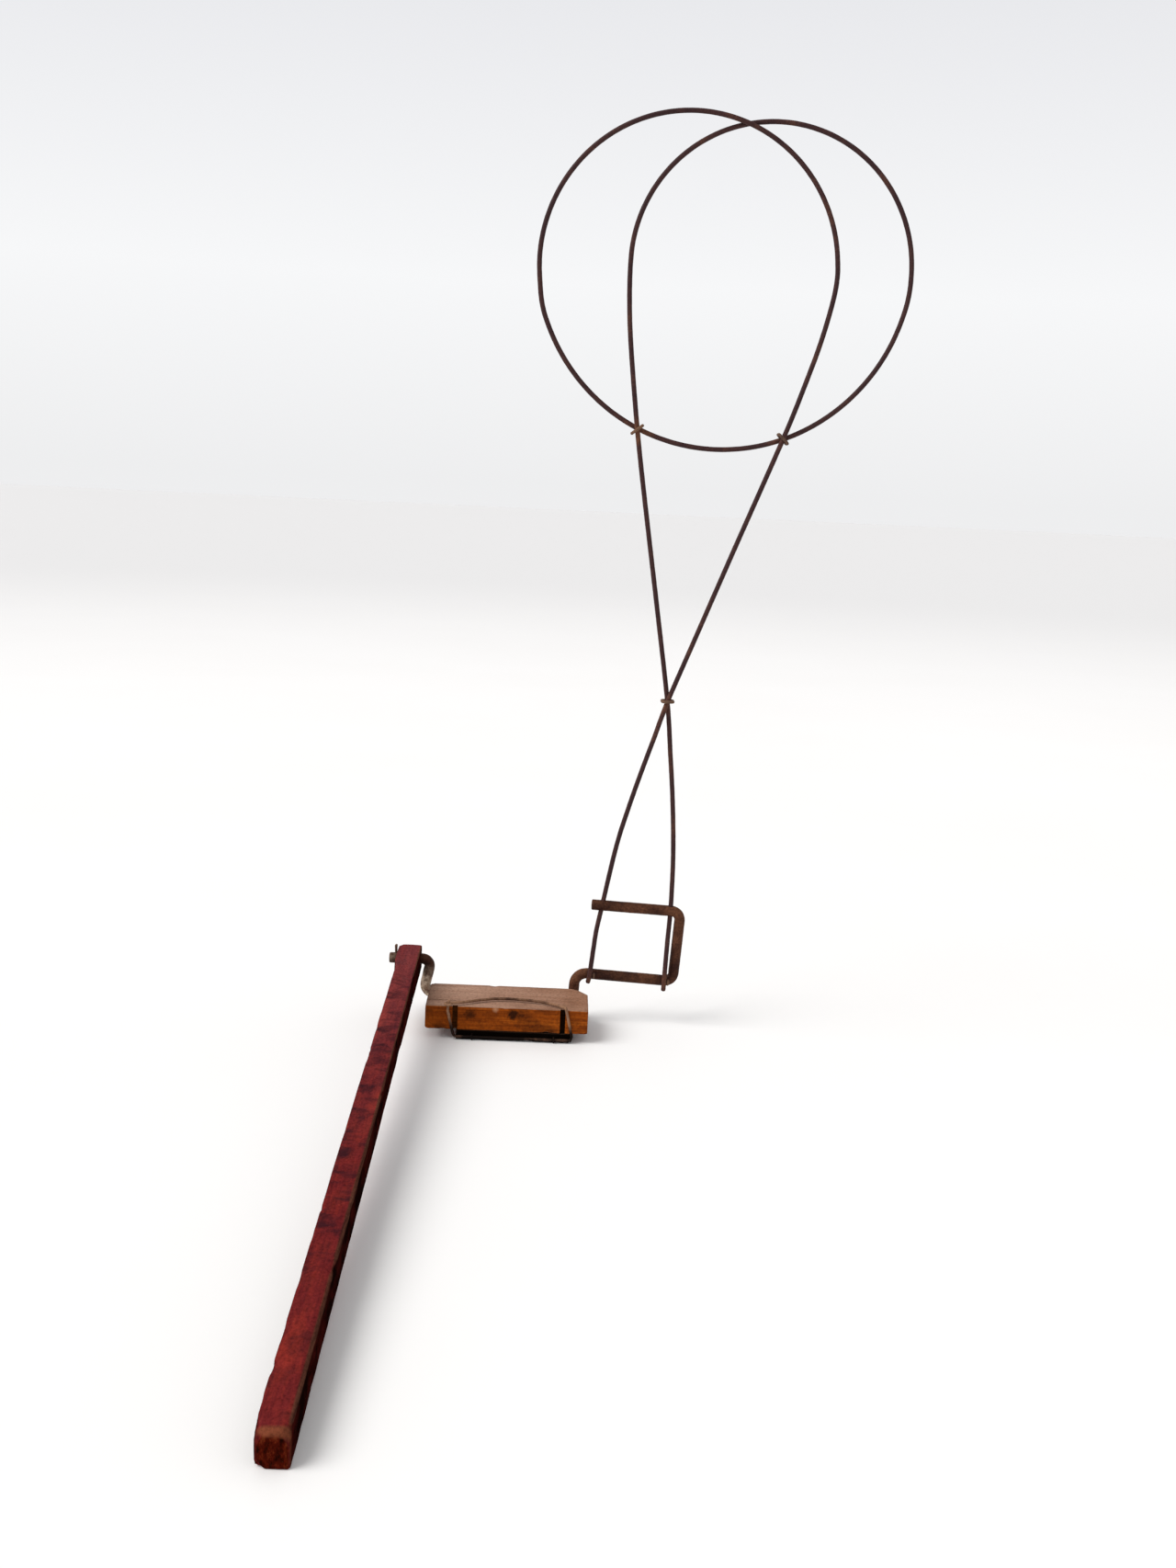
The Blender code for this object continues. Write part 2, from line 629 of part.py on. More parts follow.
clear_scene()
PARTS = new_collection("lever_hoop_frame")
CUTTERS = new_collection("cutters")
main()
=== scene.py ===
"""Looks for the hand-lever hoop frame: rust-brown bent iron, worn red paint and old wood.

Every piece is rebuilt in finer geometry round the CAD solid that it stands for. A wire
takes its line from the middle of its CAD solid, and the rest takes its place from the
CAD boxes and the record's joints. World frame, metres: +X runs along the shaft from
the lever to the hoop, +Y away from the lever's free end, +Z up.
"""
import json
import math

import bmesh
import bpy
import numpy as np
from mathutils import Matrix, Vector, noise


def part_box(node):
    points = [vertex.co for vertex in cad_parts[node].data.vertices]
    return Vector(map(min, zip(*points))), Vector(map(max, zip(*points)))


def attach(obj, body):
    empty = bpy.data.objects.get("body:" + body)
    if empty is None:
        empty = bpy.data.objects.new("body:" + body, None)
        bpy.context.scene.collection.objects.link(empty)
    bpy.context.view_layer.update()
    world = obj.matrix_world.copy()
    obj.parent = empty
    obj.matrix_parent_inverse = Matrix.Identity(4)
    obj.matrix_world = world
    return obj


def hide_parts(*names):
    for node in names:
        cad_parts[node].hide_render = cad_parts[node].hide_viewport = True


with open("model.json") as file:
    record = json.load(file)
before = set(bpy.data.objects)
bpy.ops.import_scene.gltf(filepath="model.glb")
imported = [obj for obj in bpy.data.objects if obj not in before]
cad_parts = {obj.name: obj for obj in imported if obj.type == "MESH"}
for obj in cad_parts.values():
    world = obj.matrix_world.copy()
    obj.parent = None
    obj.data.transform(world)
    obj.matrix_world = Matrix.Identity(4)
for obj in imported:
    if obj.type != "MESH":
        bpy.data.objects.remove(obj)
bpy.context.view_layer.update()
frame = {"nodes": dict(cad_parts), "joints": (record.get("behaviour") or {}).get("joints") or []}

JOINTS = {joint["name"]: joint for joint in frame["joints"]}
SHAFT = Vector(JOINTS["crank_turn"]["pos_m"])
STUB = Vector(JOINTS["lever_pivot"]["pos_m"])
BLOCK_LOW, BLOCK_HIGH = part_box("bearing_block")
FOOT_LOW, FOOT_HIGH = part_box("foot_bar")
LEVER_LOW, LEVER_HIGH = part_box("push_lever")

# ---- the crank rod, as in the CAD ----
ROD_RADIUS = 0.00475
CRANK_THROW = STUB.z - SHAFT.z
# Corners of the bent rod in the crank's own plane: along X, height over the shaft axis.
ROD_CORNERS = (
    (-0.1150, CRANK_THROW),       # sawn end of the lever stub
    (-0.0775, CRANK_THROW),
    (-0.0837, 0.0),               # left end of the shaft
    (0.0502, 0.0),                # right end of the shaft
    (0.0514, 0.0241),
    (0.1387, 0.0196),             # bottom bar of the C
    (0.1425, 0.0838),
    (0.0630, 0.0870),             # sawn end of the C's top bar
)
ROD_BENDS = (0.0063, 0.0075, 0.0080, 0.0105, 0.0075, 0.0080)

# ---- the lever, as in the CAD: measured from the stub's axis ----
LEVER_WIDTH = 0.0184
LEVER_HEIGHT = 0.0216
LEVER_REACH = 0.7285
LEVER_TAIL = 0.0130
STUB_BELOW_TOP = 0.0088
UNDER_STUB = LEVER_HEIGHT - STUB_BELOW_TOP
HEAD_EXTRA = 0.0022
HEAD_LENGTH = 0.065

# ---- the block, as in the CAD ----
CHAMFER_X = 0.0103
CHAMFER_Y = 0.0165
NOTCH_WIDTH = 0.0045
NOTCH_DEPTH = 0.003
NOTCH_X = (-0.0510, 0.0412)

PIN_SWELL = 1.5                   # the cotter pin's legs are rusted thicker than their CAD
NAIL_SHANK = 0.436                # a foot nail's shank against its head

# ---- holes: the gap round what goes through them ----
STRAND_PLAY = 0.0004
STUB_PLAY = 0.0005
SINK_PLAY = 0.0003
PIN_BORE = 0.0017                 # the radius of the cotter pin's hole

# ---- camera ----
CAMERA_PLACE = Vector((0.02564, -1.45511, 0.47267))
CAMERA_YAW = -0.019715
CAMERA_PITCH = 0.172582
CAMERA_ROLL = 0.046565
CAMERA_LENS = 39.41               # millimetres, as is the sensor's long side
CAMERA_SENSOR = 36.0
CAMERA_SEES = 200.0               # how far, in metres

# ---- light ----
KEY_FROM = (-0.66, -0.26, 0.76)
KEY_STRENGTH = 2.55
KEY_SOFT_DEG = 40.0
KEY_COLOUR = (1.0, 0.985, 0.96)
SKY_AT = (                        # height of the direction, colour
    (0.000, (0.855, 0.857, 0.865)),   # at the horizon, as bright as the far floor
    (0.110, (0.930, 0.935, 0.945)),
    (0.300, (0.780, 0.785, 0.815)),
    (0.900, (0.500, 0.484, 0.470)),
)
FLOOR_NEAR = 1.6                  # from here to FLOOR_FAR the floor's colour turns dull
FLOOR_FAR = 7.0
FLOOR_DULL = (0.712, 0.714, 0.720)
FLOOR_HALF = 30.0                 # half the floor's side

# ---- meshes ----
CREASE = math.radians(50.0)       # a fold sharper than this is shaded as an edge
NAIL_CREASE = math.radians(45.0)
RIM_FOLD = math.radians(70.0)     # a fold sharper than this is the rim of a sawn end
WELD_DISTANCE = 1e-6              # points closer than this become one
SAME_PLACE = 1e-7                 # a cut closer than this to a point goes through it
ARC_STEP_DEG = 4.0                # between points round a bend of the crank rod
RUN_STEP = 0.0015                 # between points along its straight runs
EDGE_ROWS = (0.0004, 0.0009, 0.0015, 0.0023, 0.0034)   # rows of points beside a worn edge
EDGE_FADE = 0.0016                # how far from an edge its marks reach


# =========================== small helpers ===========================
def smooth_step(low, high, values):
    """0 up to low, 1 from high on, and a smooth climb between them."""
    t = np.clip((np.asarray(values, float) - low) / (high - low), 0.0, 1.0)
    return t * t * (3.0 - 2.0 * t)


def noise_at(points, scale, octaves=1, seed=0.0):
    """Smooth noise from about -1 to 1 at each point."""
    shift = Vector((seed, 2.3 * seed, 0.7 * seed))
    found = np.zeros(len(points))
    for index, point in enumerate(points):
        place = Vector(point) * scale + shift
        weight = 1.0
        for _ in range(octaves):
            found[index] += weight * noise.noise(place)
            place = place * 2.03
            weight *= 0.5
    return found


def show(node, mesh, body, material=None):
    """The mesh is shown in place of the CAD node, and rides on the body."""
    obj = bpy.data.objects.new(f"{node}_fine", mesh)
    bpy.context.scene.collection.objects.link(obj)
    if material:
        mesh.materials.append(material)
    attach(obj, body)
    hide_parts(node)


def mark_points(mesh, name, values):
    """Give each point of the mesh a number that the materials read."""
    layer = mesh.attributes.new(name, "FLOAT", "POINT")
    layer.data.foreach_set("value", np.asarray(values, np.float32))


def points_of(mesh):
    """The mesh's points as an array, one to a row."""
    found = np.zeros(len(mesh.vertices) * 3)
    mesh.vertices.foreach_get("co", found)
    return found.reshape(-1, 3)


def by_place(vert):
    """A key that puts vertices in the same order on each run."""
    return vert.co.to_tuple()


def mesh_from(bm, name):
    """The finished bmesh as a new mesh."""
    mesh = bpy.data.meshes.new(name)
    bm.to_mesh(mesh)
    bm.free()
    return mesh


def slice_across(bm, axis, places):
    """Cut edges into the mesh in a plane across the axis at each place."""
    normal = Vector([1.0 if other == axis else 0.0 for other in range(3)])
    for place in places:
        everything = bm.verts[:] + bm.edges[:] + bm.faces[:]
        bmesh.ops.bisect_plane(bm, geom=everything, dist=SAME_PLACE,
                               plane_co=normal * place, plane_no=normal)


def thin_rims(mesh):
    """Points where only two edges meet join the next one, so that the faces split cleanly."""
    bm = bmesh.new()
    bm.from_mesh(mesh)
    joins = True
    while joins:
        joins, kept = {}, set()
        for vert in sorted((v for v in bm.verts if len(v.link_edges) == 2), key=by_place):
            target = min((edge.other_vert(vert) for edge in vert.link_edges), key=by_place)
            if vert not in kept and target not in joins:
                joins[vert] = target
                kept.add(target)
        bmesh.ops.weld_verts(bm, targetmap=joins)
    bm.to_mesh(mesh)
    bm.free()


def carve(mesh, material, cutters):
    """The mesh with each cutter mesh taken out of it; a cutter brings its own finish."""
    scene = bpy.context.scene.collection
    body = bpy.data.objects.new("carved", mesh)
    scene.objects.link(body)
    mesh.materials.append(material)
    tools = []
    for index, cutter in enumerate(cutters):
        tool = bpy.data.objects.new(f"cutter_{index}", cutter)
        scene.objects.link(tool)
        tools.append(tool)
        boolean = body.modifiers.new(tool.name, "BOOLEAN")
        boolean.operation = "DIFFERENCE"
        boolean.solver = "EXACT"
        boolean.material_mode = "TRANSFER"
        boolean.object = tool
    bpy.context.view_layer.update()
    seen = body.evaluated_get(bpy.context.evaluated_depsgraph_get())
    made = bpy.data.meshes.new_from_object(seen)
    for obj in [body, *tools]:
        bpy.data.objects.remove(obj, do_unlink=True)
    thin_rims(made)
    made.set_sharp_from_angle(angle=CREASE)
    return made


# =========================== wires ===========================
def centreline(node):
    """Points down the middle of a CAD wire, from one sawn end to the other, and its radius."""
    bm = bmesh.new()
    bm.from_mesh(frame["nodes"][node].data)
    bmesh.ops.remove_doubles(bm, verts=bm.verts, dist=WELD_DISTANCE)
    bm.normal_update()
    sharp = {e for e in bm.edges if e.calc_face_angle(0.0) > RIM_FOLD}
    rim = {v for e in sharp for v in e.verts}
    ring, growing = set(), [min(rim, key=by_place)]
    while growing:
        vert = growing.pop()
        ring.add(vert)
        growing += [e.other_vert(vert) for e in vert.link_edges
                    if e in sharp and e.other_vert(vert) not in ring]
    centre = sum((v.co for v in sorted(ring, key=by_place)), Vector()) / len(ring)
    radius = (min(ring, key=by_place).co - centre).length
    points, seen = [centre], set(ring)
    while True:
        ring = {e.other_vert(v) for v in ring for e in v.link_edges} - seen
        if not ring:
            break
        seen |= ring
        inward = 0.0 if ring <= rim else radius
        middles = [v.co - v.normal * inward for v in sorted(ring, key=by_place)]
        points.append(sum(middles, Vector()) / len(ring))
    bm.free()
    if points[-1].z < points[0].z:
        points.reverse()
    return points, radius


def evenly(points, step):
    """The same line as a smooth curve, with a point about every step, as an array."""
    chain = [2 * points[0] - points[1], *points, 2 * points[-1] - points[-2]]
    fine = [points[0]]
    for a, b, c, d in zip(chain, chain[1:], chain[2:], chain[3:]):
        count = max(1, round((c - b).length / step))
        for index in range(1, count + 1):
            t = index / count
            fine.append(0.5 * (
                2 * b + (c - a) * t + (2 * a - 5 * b + 4 * c - d) * t * t
                + (3 * b - a - 3 * c + d) * t ** 3
            ))
    return np.array(fine)


def bent_path(corners, radii):
    """The line through corners, with each inner corner rounded to its radius."""
    points = [Vector(corners[0])]
    for before, corner, after, radius in zip(corners, corners[1:], corners[2:], radii):
        back = (before - corner).normalized()
        ahead = (after - corner).normalized()
        half = back.angle(ahead) / 2
        center = corner + (back + ahead).normalized() * (radius / math.sin(half))
        start = corner + back * (radius / math.tan(half)) - center
        end = corner + ahead * (radius / math.tan(half)) - center
        sweep = math.pi - 2 * half
        run = (center + start) - points[-1]
        count = max(2, round(run.length / RUN_STEP))
        for _ in range(count - 1):
            points.append(points[-1] + run / count)
        steps = max(3, math.ceil(math.degrees(sweep) / ARC_STEP_DEG))
        for index in range(steps + 1):
            t = index / steps
            a = math.sin((1 - t) * sweep) / math.sin(sweep)
            b = math.sin(t * sweep) / math.sin(sweep)
            points.append(center + start * a + end * b)
    run = corners[-1] - points[-1]
    count = max(2, round(run.length / RUN_STEP))
    points += [points[-1] + run * (index / count) for index in range(1, count + 1)]
    return points


def tip_rounding(along, radius, tip):
    """How far each ring is drawn in near the wire's two ends."""
    nearest = np.minimum(along, along[-1] - along)
    inside = np.clip(1.0 - nearest / (tip * radius), 0.0, 1.0)
    return 1.0 - (1.0 - np.sqrt(1.0 - inside ** 2)) * 0.55


def tube(name, line, radius, tip, lumps, lump_scale, sides=14, rust=(), seed=0.0, flatten=0.0):
    """A wire along line: slightly uneven, its tips rounded, with rust marked near places.

    line is an array of points. rust is a list of (place, reach). flatten squeezes the
    section where the line bends.
    """
    ends = []
    for near, far in ((line[0], line[1]), (line[-1], line[-2])):
        way = (far - near) / np.linalg.norm(far - near)
        ends.append([near + way * radius * tip * share for share in (0.08, 0.25, 0.55)])
    kept = [p for p in line[1:-1] if min(
        np.linalg.norm(p - line[0]), np.linalg.norm(p - line[-1])) > radius * tip * 0.8]
    line = np.array([line[0], *ends[0], *kept, *reversed(ends[1]), line[-1]])
    ahead = np.gradient(line, axis=0)
    ahead /= np.linalg.norm(ahead, axis=1)[:, None]
    along = np.concatenate([[0.0], np.cumsum(np.linalg.norm(np.diff(line, axis=0), axis=1))])
    drawn_in = tip_rounding(along, radius, tip)

    side = Vector(ahead[0]).orthogonal().normalized()
    rings = []
    for index, (place, way) in enumerate(zip(line, ahead)):
        way = Vector(way)
        side = (side - way * side.dot(way)).normalized()
        other = way.cross(side)
        turn = Vector(ahead[min(index + 1, len(line) - 1)]) - Vector(ahead[max(index - 1, 0)])
        curl = min(1.0, turn.length * 4.0)
        bend = turn.normalized() if turn.length > 1e-6 else Vector()
        for step in range(sides):
            angle = 2.0 * math.pi * step / sides
            out = side * math.cos(angle) + other * math.sin(angle)
            squeeze = 1.0 - flatten * curl * out.dot(bend) ** 2
            rings.append(Vector(place) + out * (radius * drawn_in[index] * squeeze))
    rings = np.array(rings)
    centres = np.repeat(line, sides, axis=0)
    bumps = noise_at(rings, lump_scale, octaves=2, seed=seed)
    rings = centres + (rings - centres) * (1.0 + lumps * np.clip(bumps, -1.2, 0.6))[:, None]

    faces = []
    for ring in range(len(line) - 1):
        for step in range(sides):
            after = (step + 1) % sides
            faces.append((ring * sides + step, ring * sides + after,
                          (ring + 1) * sides + after, (ring + 1) * sides + step))
    faces.append(tuple(reversed(range(sides))))
    faces.append(tuple(range((len(line) - 1) * sides, len(line) * sides)))
    mesh = bpy.data.meshes.new(name)
    mesh.from_pydata([tuple(p) for p in rings], [], faces)
    near = np.zeros(len(rings))
    for place, reach in rust:
        far = np.linalg.norm(rings - np.array(place), axis=1)
        near = np.maximum(near, 1.0 - smooth_step(0.25 * reach, reach, far))
    mark_points(mesh, "rust", near)
    mesh.shade_smooth()
    mesh.set_sharp_from_angle(angle=CREASE)
    mesh.validate()
    return mesh


def rod_mesh(name, radius, start, end, sides=24):
    """A plain round cutter between two points."""
    start, end = Vector(start), Vector(end)
    bm = bmesh.new()
    bmesh.ops.create_cone(bm, cap_ends=True, segments=sides, radius1=radius,
                          radius2=radius, depth=(end - start).length)
    turn = Vector((0.0, 0.0, 1.0)).rotation_difference(end - start).to_matrix().to_4x4()
    bm.transform(Matrix.Translation((start + end) / 2) @ turn)
    return mesh_from(bm, name)


# =========================== worn solids ===========================
def grid_lines(low, high, step):
    """Places from low to high: close together near both ends, about step apart between."""
    near = [low + gap for gap in EDGE_ROWS]
    far = [high - gap for gap in reversed(EDGE_ROWS)]
    count = max(1, round((far[0] - near[-1]) / step))
    middle = [near[-1] + (far[0] - near[-1]) * index / count for index in range(1, count)]
    return near + middle + far


def worn_prism(name, outline, low, high, steps, radius_at, sunk_at, chips=()):
    """A convex outline in XY raised from low to high, with worn, uneven, chipped edges.

    radius_at and sunk_at take an array of surface points: the first gives how round
    an edge is there, the second how far the surface has sunk. A chip is a place, its
    reach and its depth. The mesh carries an attribute, edge: 1 on an edge, 0 away from it.
    """
    bm = bmesh.new()
    base = bm.faces.new([bm.verts.new((x, y, low)) for x, y in outline])
    raised = bmesh.ops.extrude_face_region(bm, geom=[base])
    top = [item for item in raised["geom"] if isinstance(item, bmesh.types.BMVert)]
    bmesh.ops.translate(bm, vec=(0.0, 0.0, high - low), verts=top)
    bmesh.ops.recalc_face_normals(bm, faces=bm.faces)
    planes = sorted((f.normal.to_tuple(6), f.normal.dot(min(f.verts, key=by_place).co))
                    for f in bm.faces)
    spans = [[f(p[axis] for p in outline) for f in (min, max)] for axis in (0, 1)]
    spans.append([low, high])
    for axis, (span, step) in enumerate(zip(spans, steps)):
        slice_across(bm, axis, grid_lines(*span, step))

    points = np.array([v.co for v in bm.verts])
    radius = radius_at(points)
    inner = points.copy()
    for _ in range(4):
        for normal, offset in planes:
            over = inner @ normal - (offset - radius)
            inner -= np.outer(np.maximum(over, 0.0), normal)
    outward = points - inner
    outward /= np.linalg.norm(outward, axis=1)[:, None]
    worn = inner + outward * radius[:, None] - outward * sunk_at(points)[:, None]
    for place, reach, depth in chips:
        far = np.linalg.norm(points - np.array(place), axis=1)
        ragged = 1.0 + 0.5 * noise_at(points, 900.0, octaves=2, seed=reach * 1000.0)
        worn -= outward * (depth * (1.0 - smooth_step(0.2, 1.0, far / (reach * ragged))))[:, None]

    room = np.sort(np.array([offset - points @ normal for normal, offset in planes]), axis=0)
    closeness = np.exp(-room[1] / EDGE_FADE)
    layer = bm.verts.layers.float.new("edge")
    for vert, place, value in zip(bm.verts, worn, closeness):
        vert.co = place
        vert[layer] = value
    mesh = mesh_from(bm, name)
    mesh.shade_smooth()
    return mesh


def ragged_box(name, low, high, seed, step=0.0012, rough=0.00012):
    """A cutter with uneven walls."""
    low, high = Vector(low), Vector(high)
    bm = bmesh.new()
    bmesh.ops.create_cube(bm, size=1.0)
    bmesh.ops.scale(bm, vec=high - low, verts=bm.verts)
    bmesh.ops.translate(bm, vec=(low + high) / 2, verts=bm.verts)
    for axis in range(3):
        length = high[axis] - low[axis]
        count = max(1, round(length / step))
        slice_across(bm, axis, [low[axis] + length * index / count for index in range(1, count)])
    for vert in bm.verts:
        # noise.noise_vector gives other values on each run; noise.noise doesn't.
        place = vert.co * 600.0 + Vector((seed, 0.0, 0.0))
        away = [noise.noise(place + Vector((0.0, gap, 0.0))) for gap in (0.0, 17.3, 41.9)]
        vert.co += Vector(away) * rough
    return mesh_from(bm, name)


# =========================== node materials ===========================
def plug(tree, node, inputs):
    """Set a node's inputs: each is a value or another node's socket."""
    for socket, value in inputs.items():
        if isinstance(value, bpy.types.NodeSocket):
            tree.links.new(value, node.inputs[socket])
        else:
            node.inputs[socket].default_value = value


def add(tree, kind, inputs=None, **settings):
    """A new node with its settings and inputs."""
    made = tree.nodes.new(kind)
    for key, value in settings.items():
        setattr(made, key, value)
    plug(tree, made, inputs or {})
    return made


def start(name):
    """A new node material: itself, its tree, object coordinates and object-space normal."""
    material = bpy.data.materials.new(name)
    material.use_nodes = True
    place = add(material.node_tree, "ShaderNodeTexCoord")
    return material, material.node_tree, place.outputs["Object"], place.outputs["Normal"]


def surface(tree, colour, rough, specular, height, strength, depth):
    """Give the material's shader its colour, gloss and a relief from the height."""
    bump = add(tree, "ShaderNodeBump", {"Height": height, "Strength": strength, "Distance": depth})
    plug(tree, tree.nodes["Principled BSDF"], {
        "Base Color": colour, "Roughness": rough, "Specular IOR Level": specular,
        "Normal": bump.outputs["Normal"]})


def clouds(tree, coords, stretch, detail=4.0, rough=0.55, distort=0.0):
    """Noise whose features are 1/stretch metres long along each axis."""
    mapped = add(tree, "ShaderNodeMapping", {"Vector": coords, "Scale": stretch})
    made = add(tree, "ShaderNodeTexNoise", {
        "Vector": mapped.outputs["Vector"], "Scale": 1.0, "Detail": detail,
        "Roughness": rough, "Distortion": distort})
    return made.outputs["Fac"]


def ramp(tree, factor, *stops):
    """Colours, or greys, read off between stops of (place, colour)."""
    made = add(tree, "ShaderNodeValToRGB", {"Fac": factor})
    row = made.color_ramp.elements
    while len(row) < len(stops):
        row.new(0.5)
    for element, (place, colour) in zip(row, stops):
        element.position = place
        grey = isinstance(colour, (int, float))
        element.color = (colour, colour, colour, 1.0) if grey else (*colour, 1.0)
    return made.outputs["Color"]


def blend(tree, factor, a, b, how="MIX"):
    """Colour a turned into colour b by the factor, or multiplied by it."""
    a, b = ((*side, 1.0) if isinstance(side, tuple) else side for side in (a, b))
    made = add(tree, "ShaderNodeMix", {0: factor, 6: a, 7: b}, data_type="RGBA", blend_type=how)
    return made.outputs[2]


def math_of(tree, operation, a, b=0.0, c=0.0, clamp=False):
    """One operation on up to three numbers."""
    made = add(tree, "ShaderNodeMath", {0: a, 1: b, 2: c}, operation=operation, use_clamp=clamp)
    return made.outputs[0]


def times(tree, a, b):
    """The product of two numbers."""
    return math_of(tree, "MULTIPLY", a, b)


def rescale(tree, value, start_at, end_at, first=0.0, last=1.0, curve="LINEAR"):
    """First where the value is start_at or less, last where it is end_at or more."""
    made = add(tree, "ShaderNodeMapRange", {
        "Value": value, "From Min": start_at, "From Max": end_at,
        "To Min": first, "To Max": last}, interpolation_type=curve)
    return made.outputs["Result"]


def between(tree, value, low, high, fade):
    """1 where a value lies between low and high, fading to 0 outside them."""
    rise = rescale(tree, value, low - fade, low)
    return times(tree, rise, rescale(tree, value, high, high + fade, 1.0, 0.0))


def part_of(tree, vector, axis):
    """One component of a vector."""
    return add(tree, "ShaderNodeSeparateXYZ", {"Vector": vector}).outputs[axis]


def reading(tree, name):
    """A number carried by the mesh's points."""
    return add(tree, "ShaderNodeAttribute", attribute_name=name).outputs["Fac"]


def spot(tree, coords, place, inner, outer, ragged):
    """1 within about inner of a place, 0 beyond outer, with a ragged border."""
    away = add(tree, "ShaderNodeVectorMath", {0: coords, 1: place}, operation="DISTANCE")
    uneven = math_of(tree, "MULTIPLY_ADD", ragged, 0.004, -0.002)
    far = math_of(tree, "ADD", away.outputs["Value"], uneven)
    return rescale(tree, far, inner, outer, 1.0, 0.0)


def rust_level(tree, patches, flecks, marked, bias, broken):
    """How rusty iron is: patchy, more so where the mesh is marked, and broken up by flecks."""
    level = math_of(tree, "MULTIPLY_ADD", reading(tree, "rust"), marked, patches)
    speckle = math_of(tree, "MULTIPLY_ADD", flecks, broken, bias - broken / 2)
    return math_of(tree, "ADD", level, speckle, clamp=True)


def iron(name, dark, brown, orange, bias=0.0, specular=0.15):
    """Oxidised iron: dark scale, brown rust in patches, orange rust where it is marked; on the bail
    the dark colour is painted shade.
    """
    material, tree, coords, _ = start(name)
    patches = clouds(tree, coords, (55.0, 55.0, 38.0), detail=6.0, rough=0.6)
    flecks = clouds(tree, coords, (520.0, 520.0, 520.0), detail=5.0, rough=0.60)
    level = rust_level(tree, patches, flecks, 0.20 + 1.8 * abs(bias), bias, 0.22)
    colour = ramp(tree, level, (0.40, dark), (0.58, brown), (0.82, orange))
    shade = ramp(tree, flecks, (0.30, 0.78), (0.70, 1.16))
    colour = blend(tree, 1.0, colour, shade, "MULTIPLY")
    rough = ramp(tree, level, (0.38, 0.50), (0.75, 0.80))
    surface(tree, colour, rough, specular, flecks, 0.45, 0.0003)
    return material


def rubbed_iron(name):
    """The crank rod: rust-brown, rubbed bare where the lever bears on the lower bend, with a painted
    highlight there.
    """
    material, tree, coords, _ = start(name)
    patches = clouds(tree, coords, (60.0, 60.0, 60.0), detail=6.0, rough=0.62)
    flecks = clouds(tree, coords, (700.0, 700.0, 700.0), detail=5.0, rough=0.65)
    streaks = clouds(tree, coords, (160.0, 600.0, 160.0), detail=3.0)
    level = rust_level(tree, patches, flecks, 0.15, 0.0, 0.24)
    colour = ramp(tree, level, (0.36, (0.032, 0.011, 0.007)), (0.50, (0.061, 0.023, 0.012)),
                  (0.62, (0.092, 0.036, 0.019)), (0.80, (0.145, 0.060, 0.029)))
    # Painted highlight: the rubbed marks take a pale colour that paints the glint of the rubbed
    # metal as well as its brighter tone.
    bright = ramp(tree, streaks, (0.38, (0.34, 0.235, 0.165)), (0.60, (0.68, 0.54, 0.40)))
    colour = blend(tree, reading(tree, "rubbed"), colour, bright)
    shade = ramp(tree, flecks, (0.30, 0.60), (0.70, 1.25))
    colour = blend(tree, 1.0, colour, shade, "MULTIPLY")
    rough = ramp(tree, level, (0.38, 0.50), (0.75, 0.80))
    rough = blend(tree, reading(tree, "rubbed"), rough, (0.38, 0.38, 0.38))
    surface(tree, colour, rough, 0.07, flecks, 0.5, 0.0004)
    return material


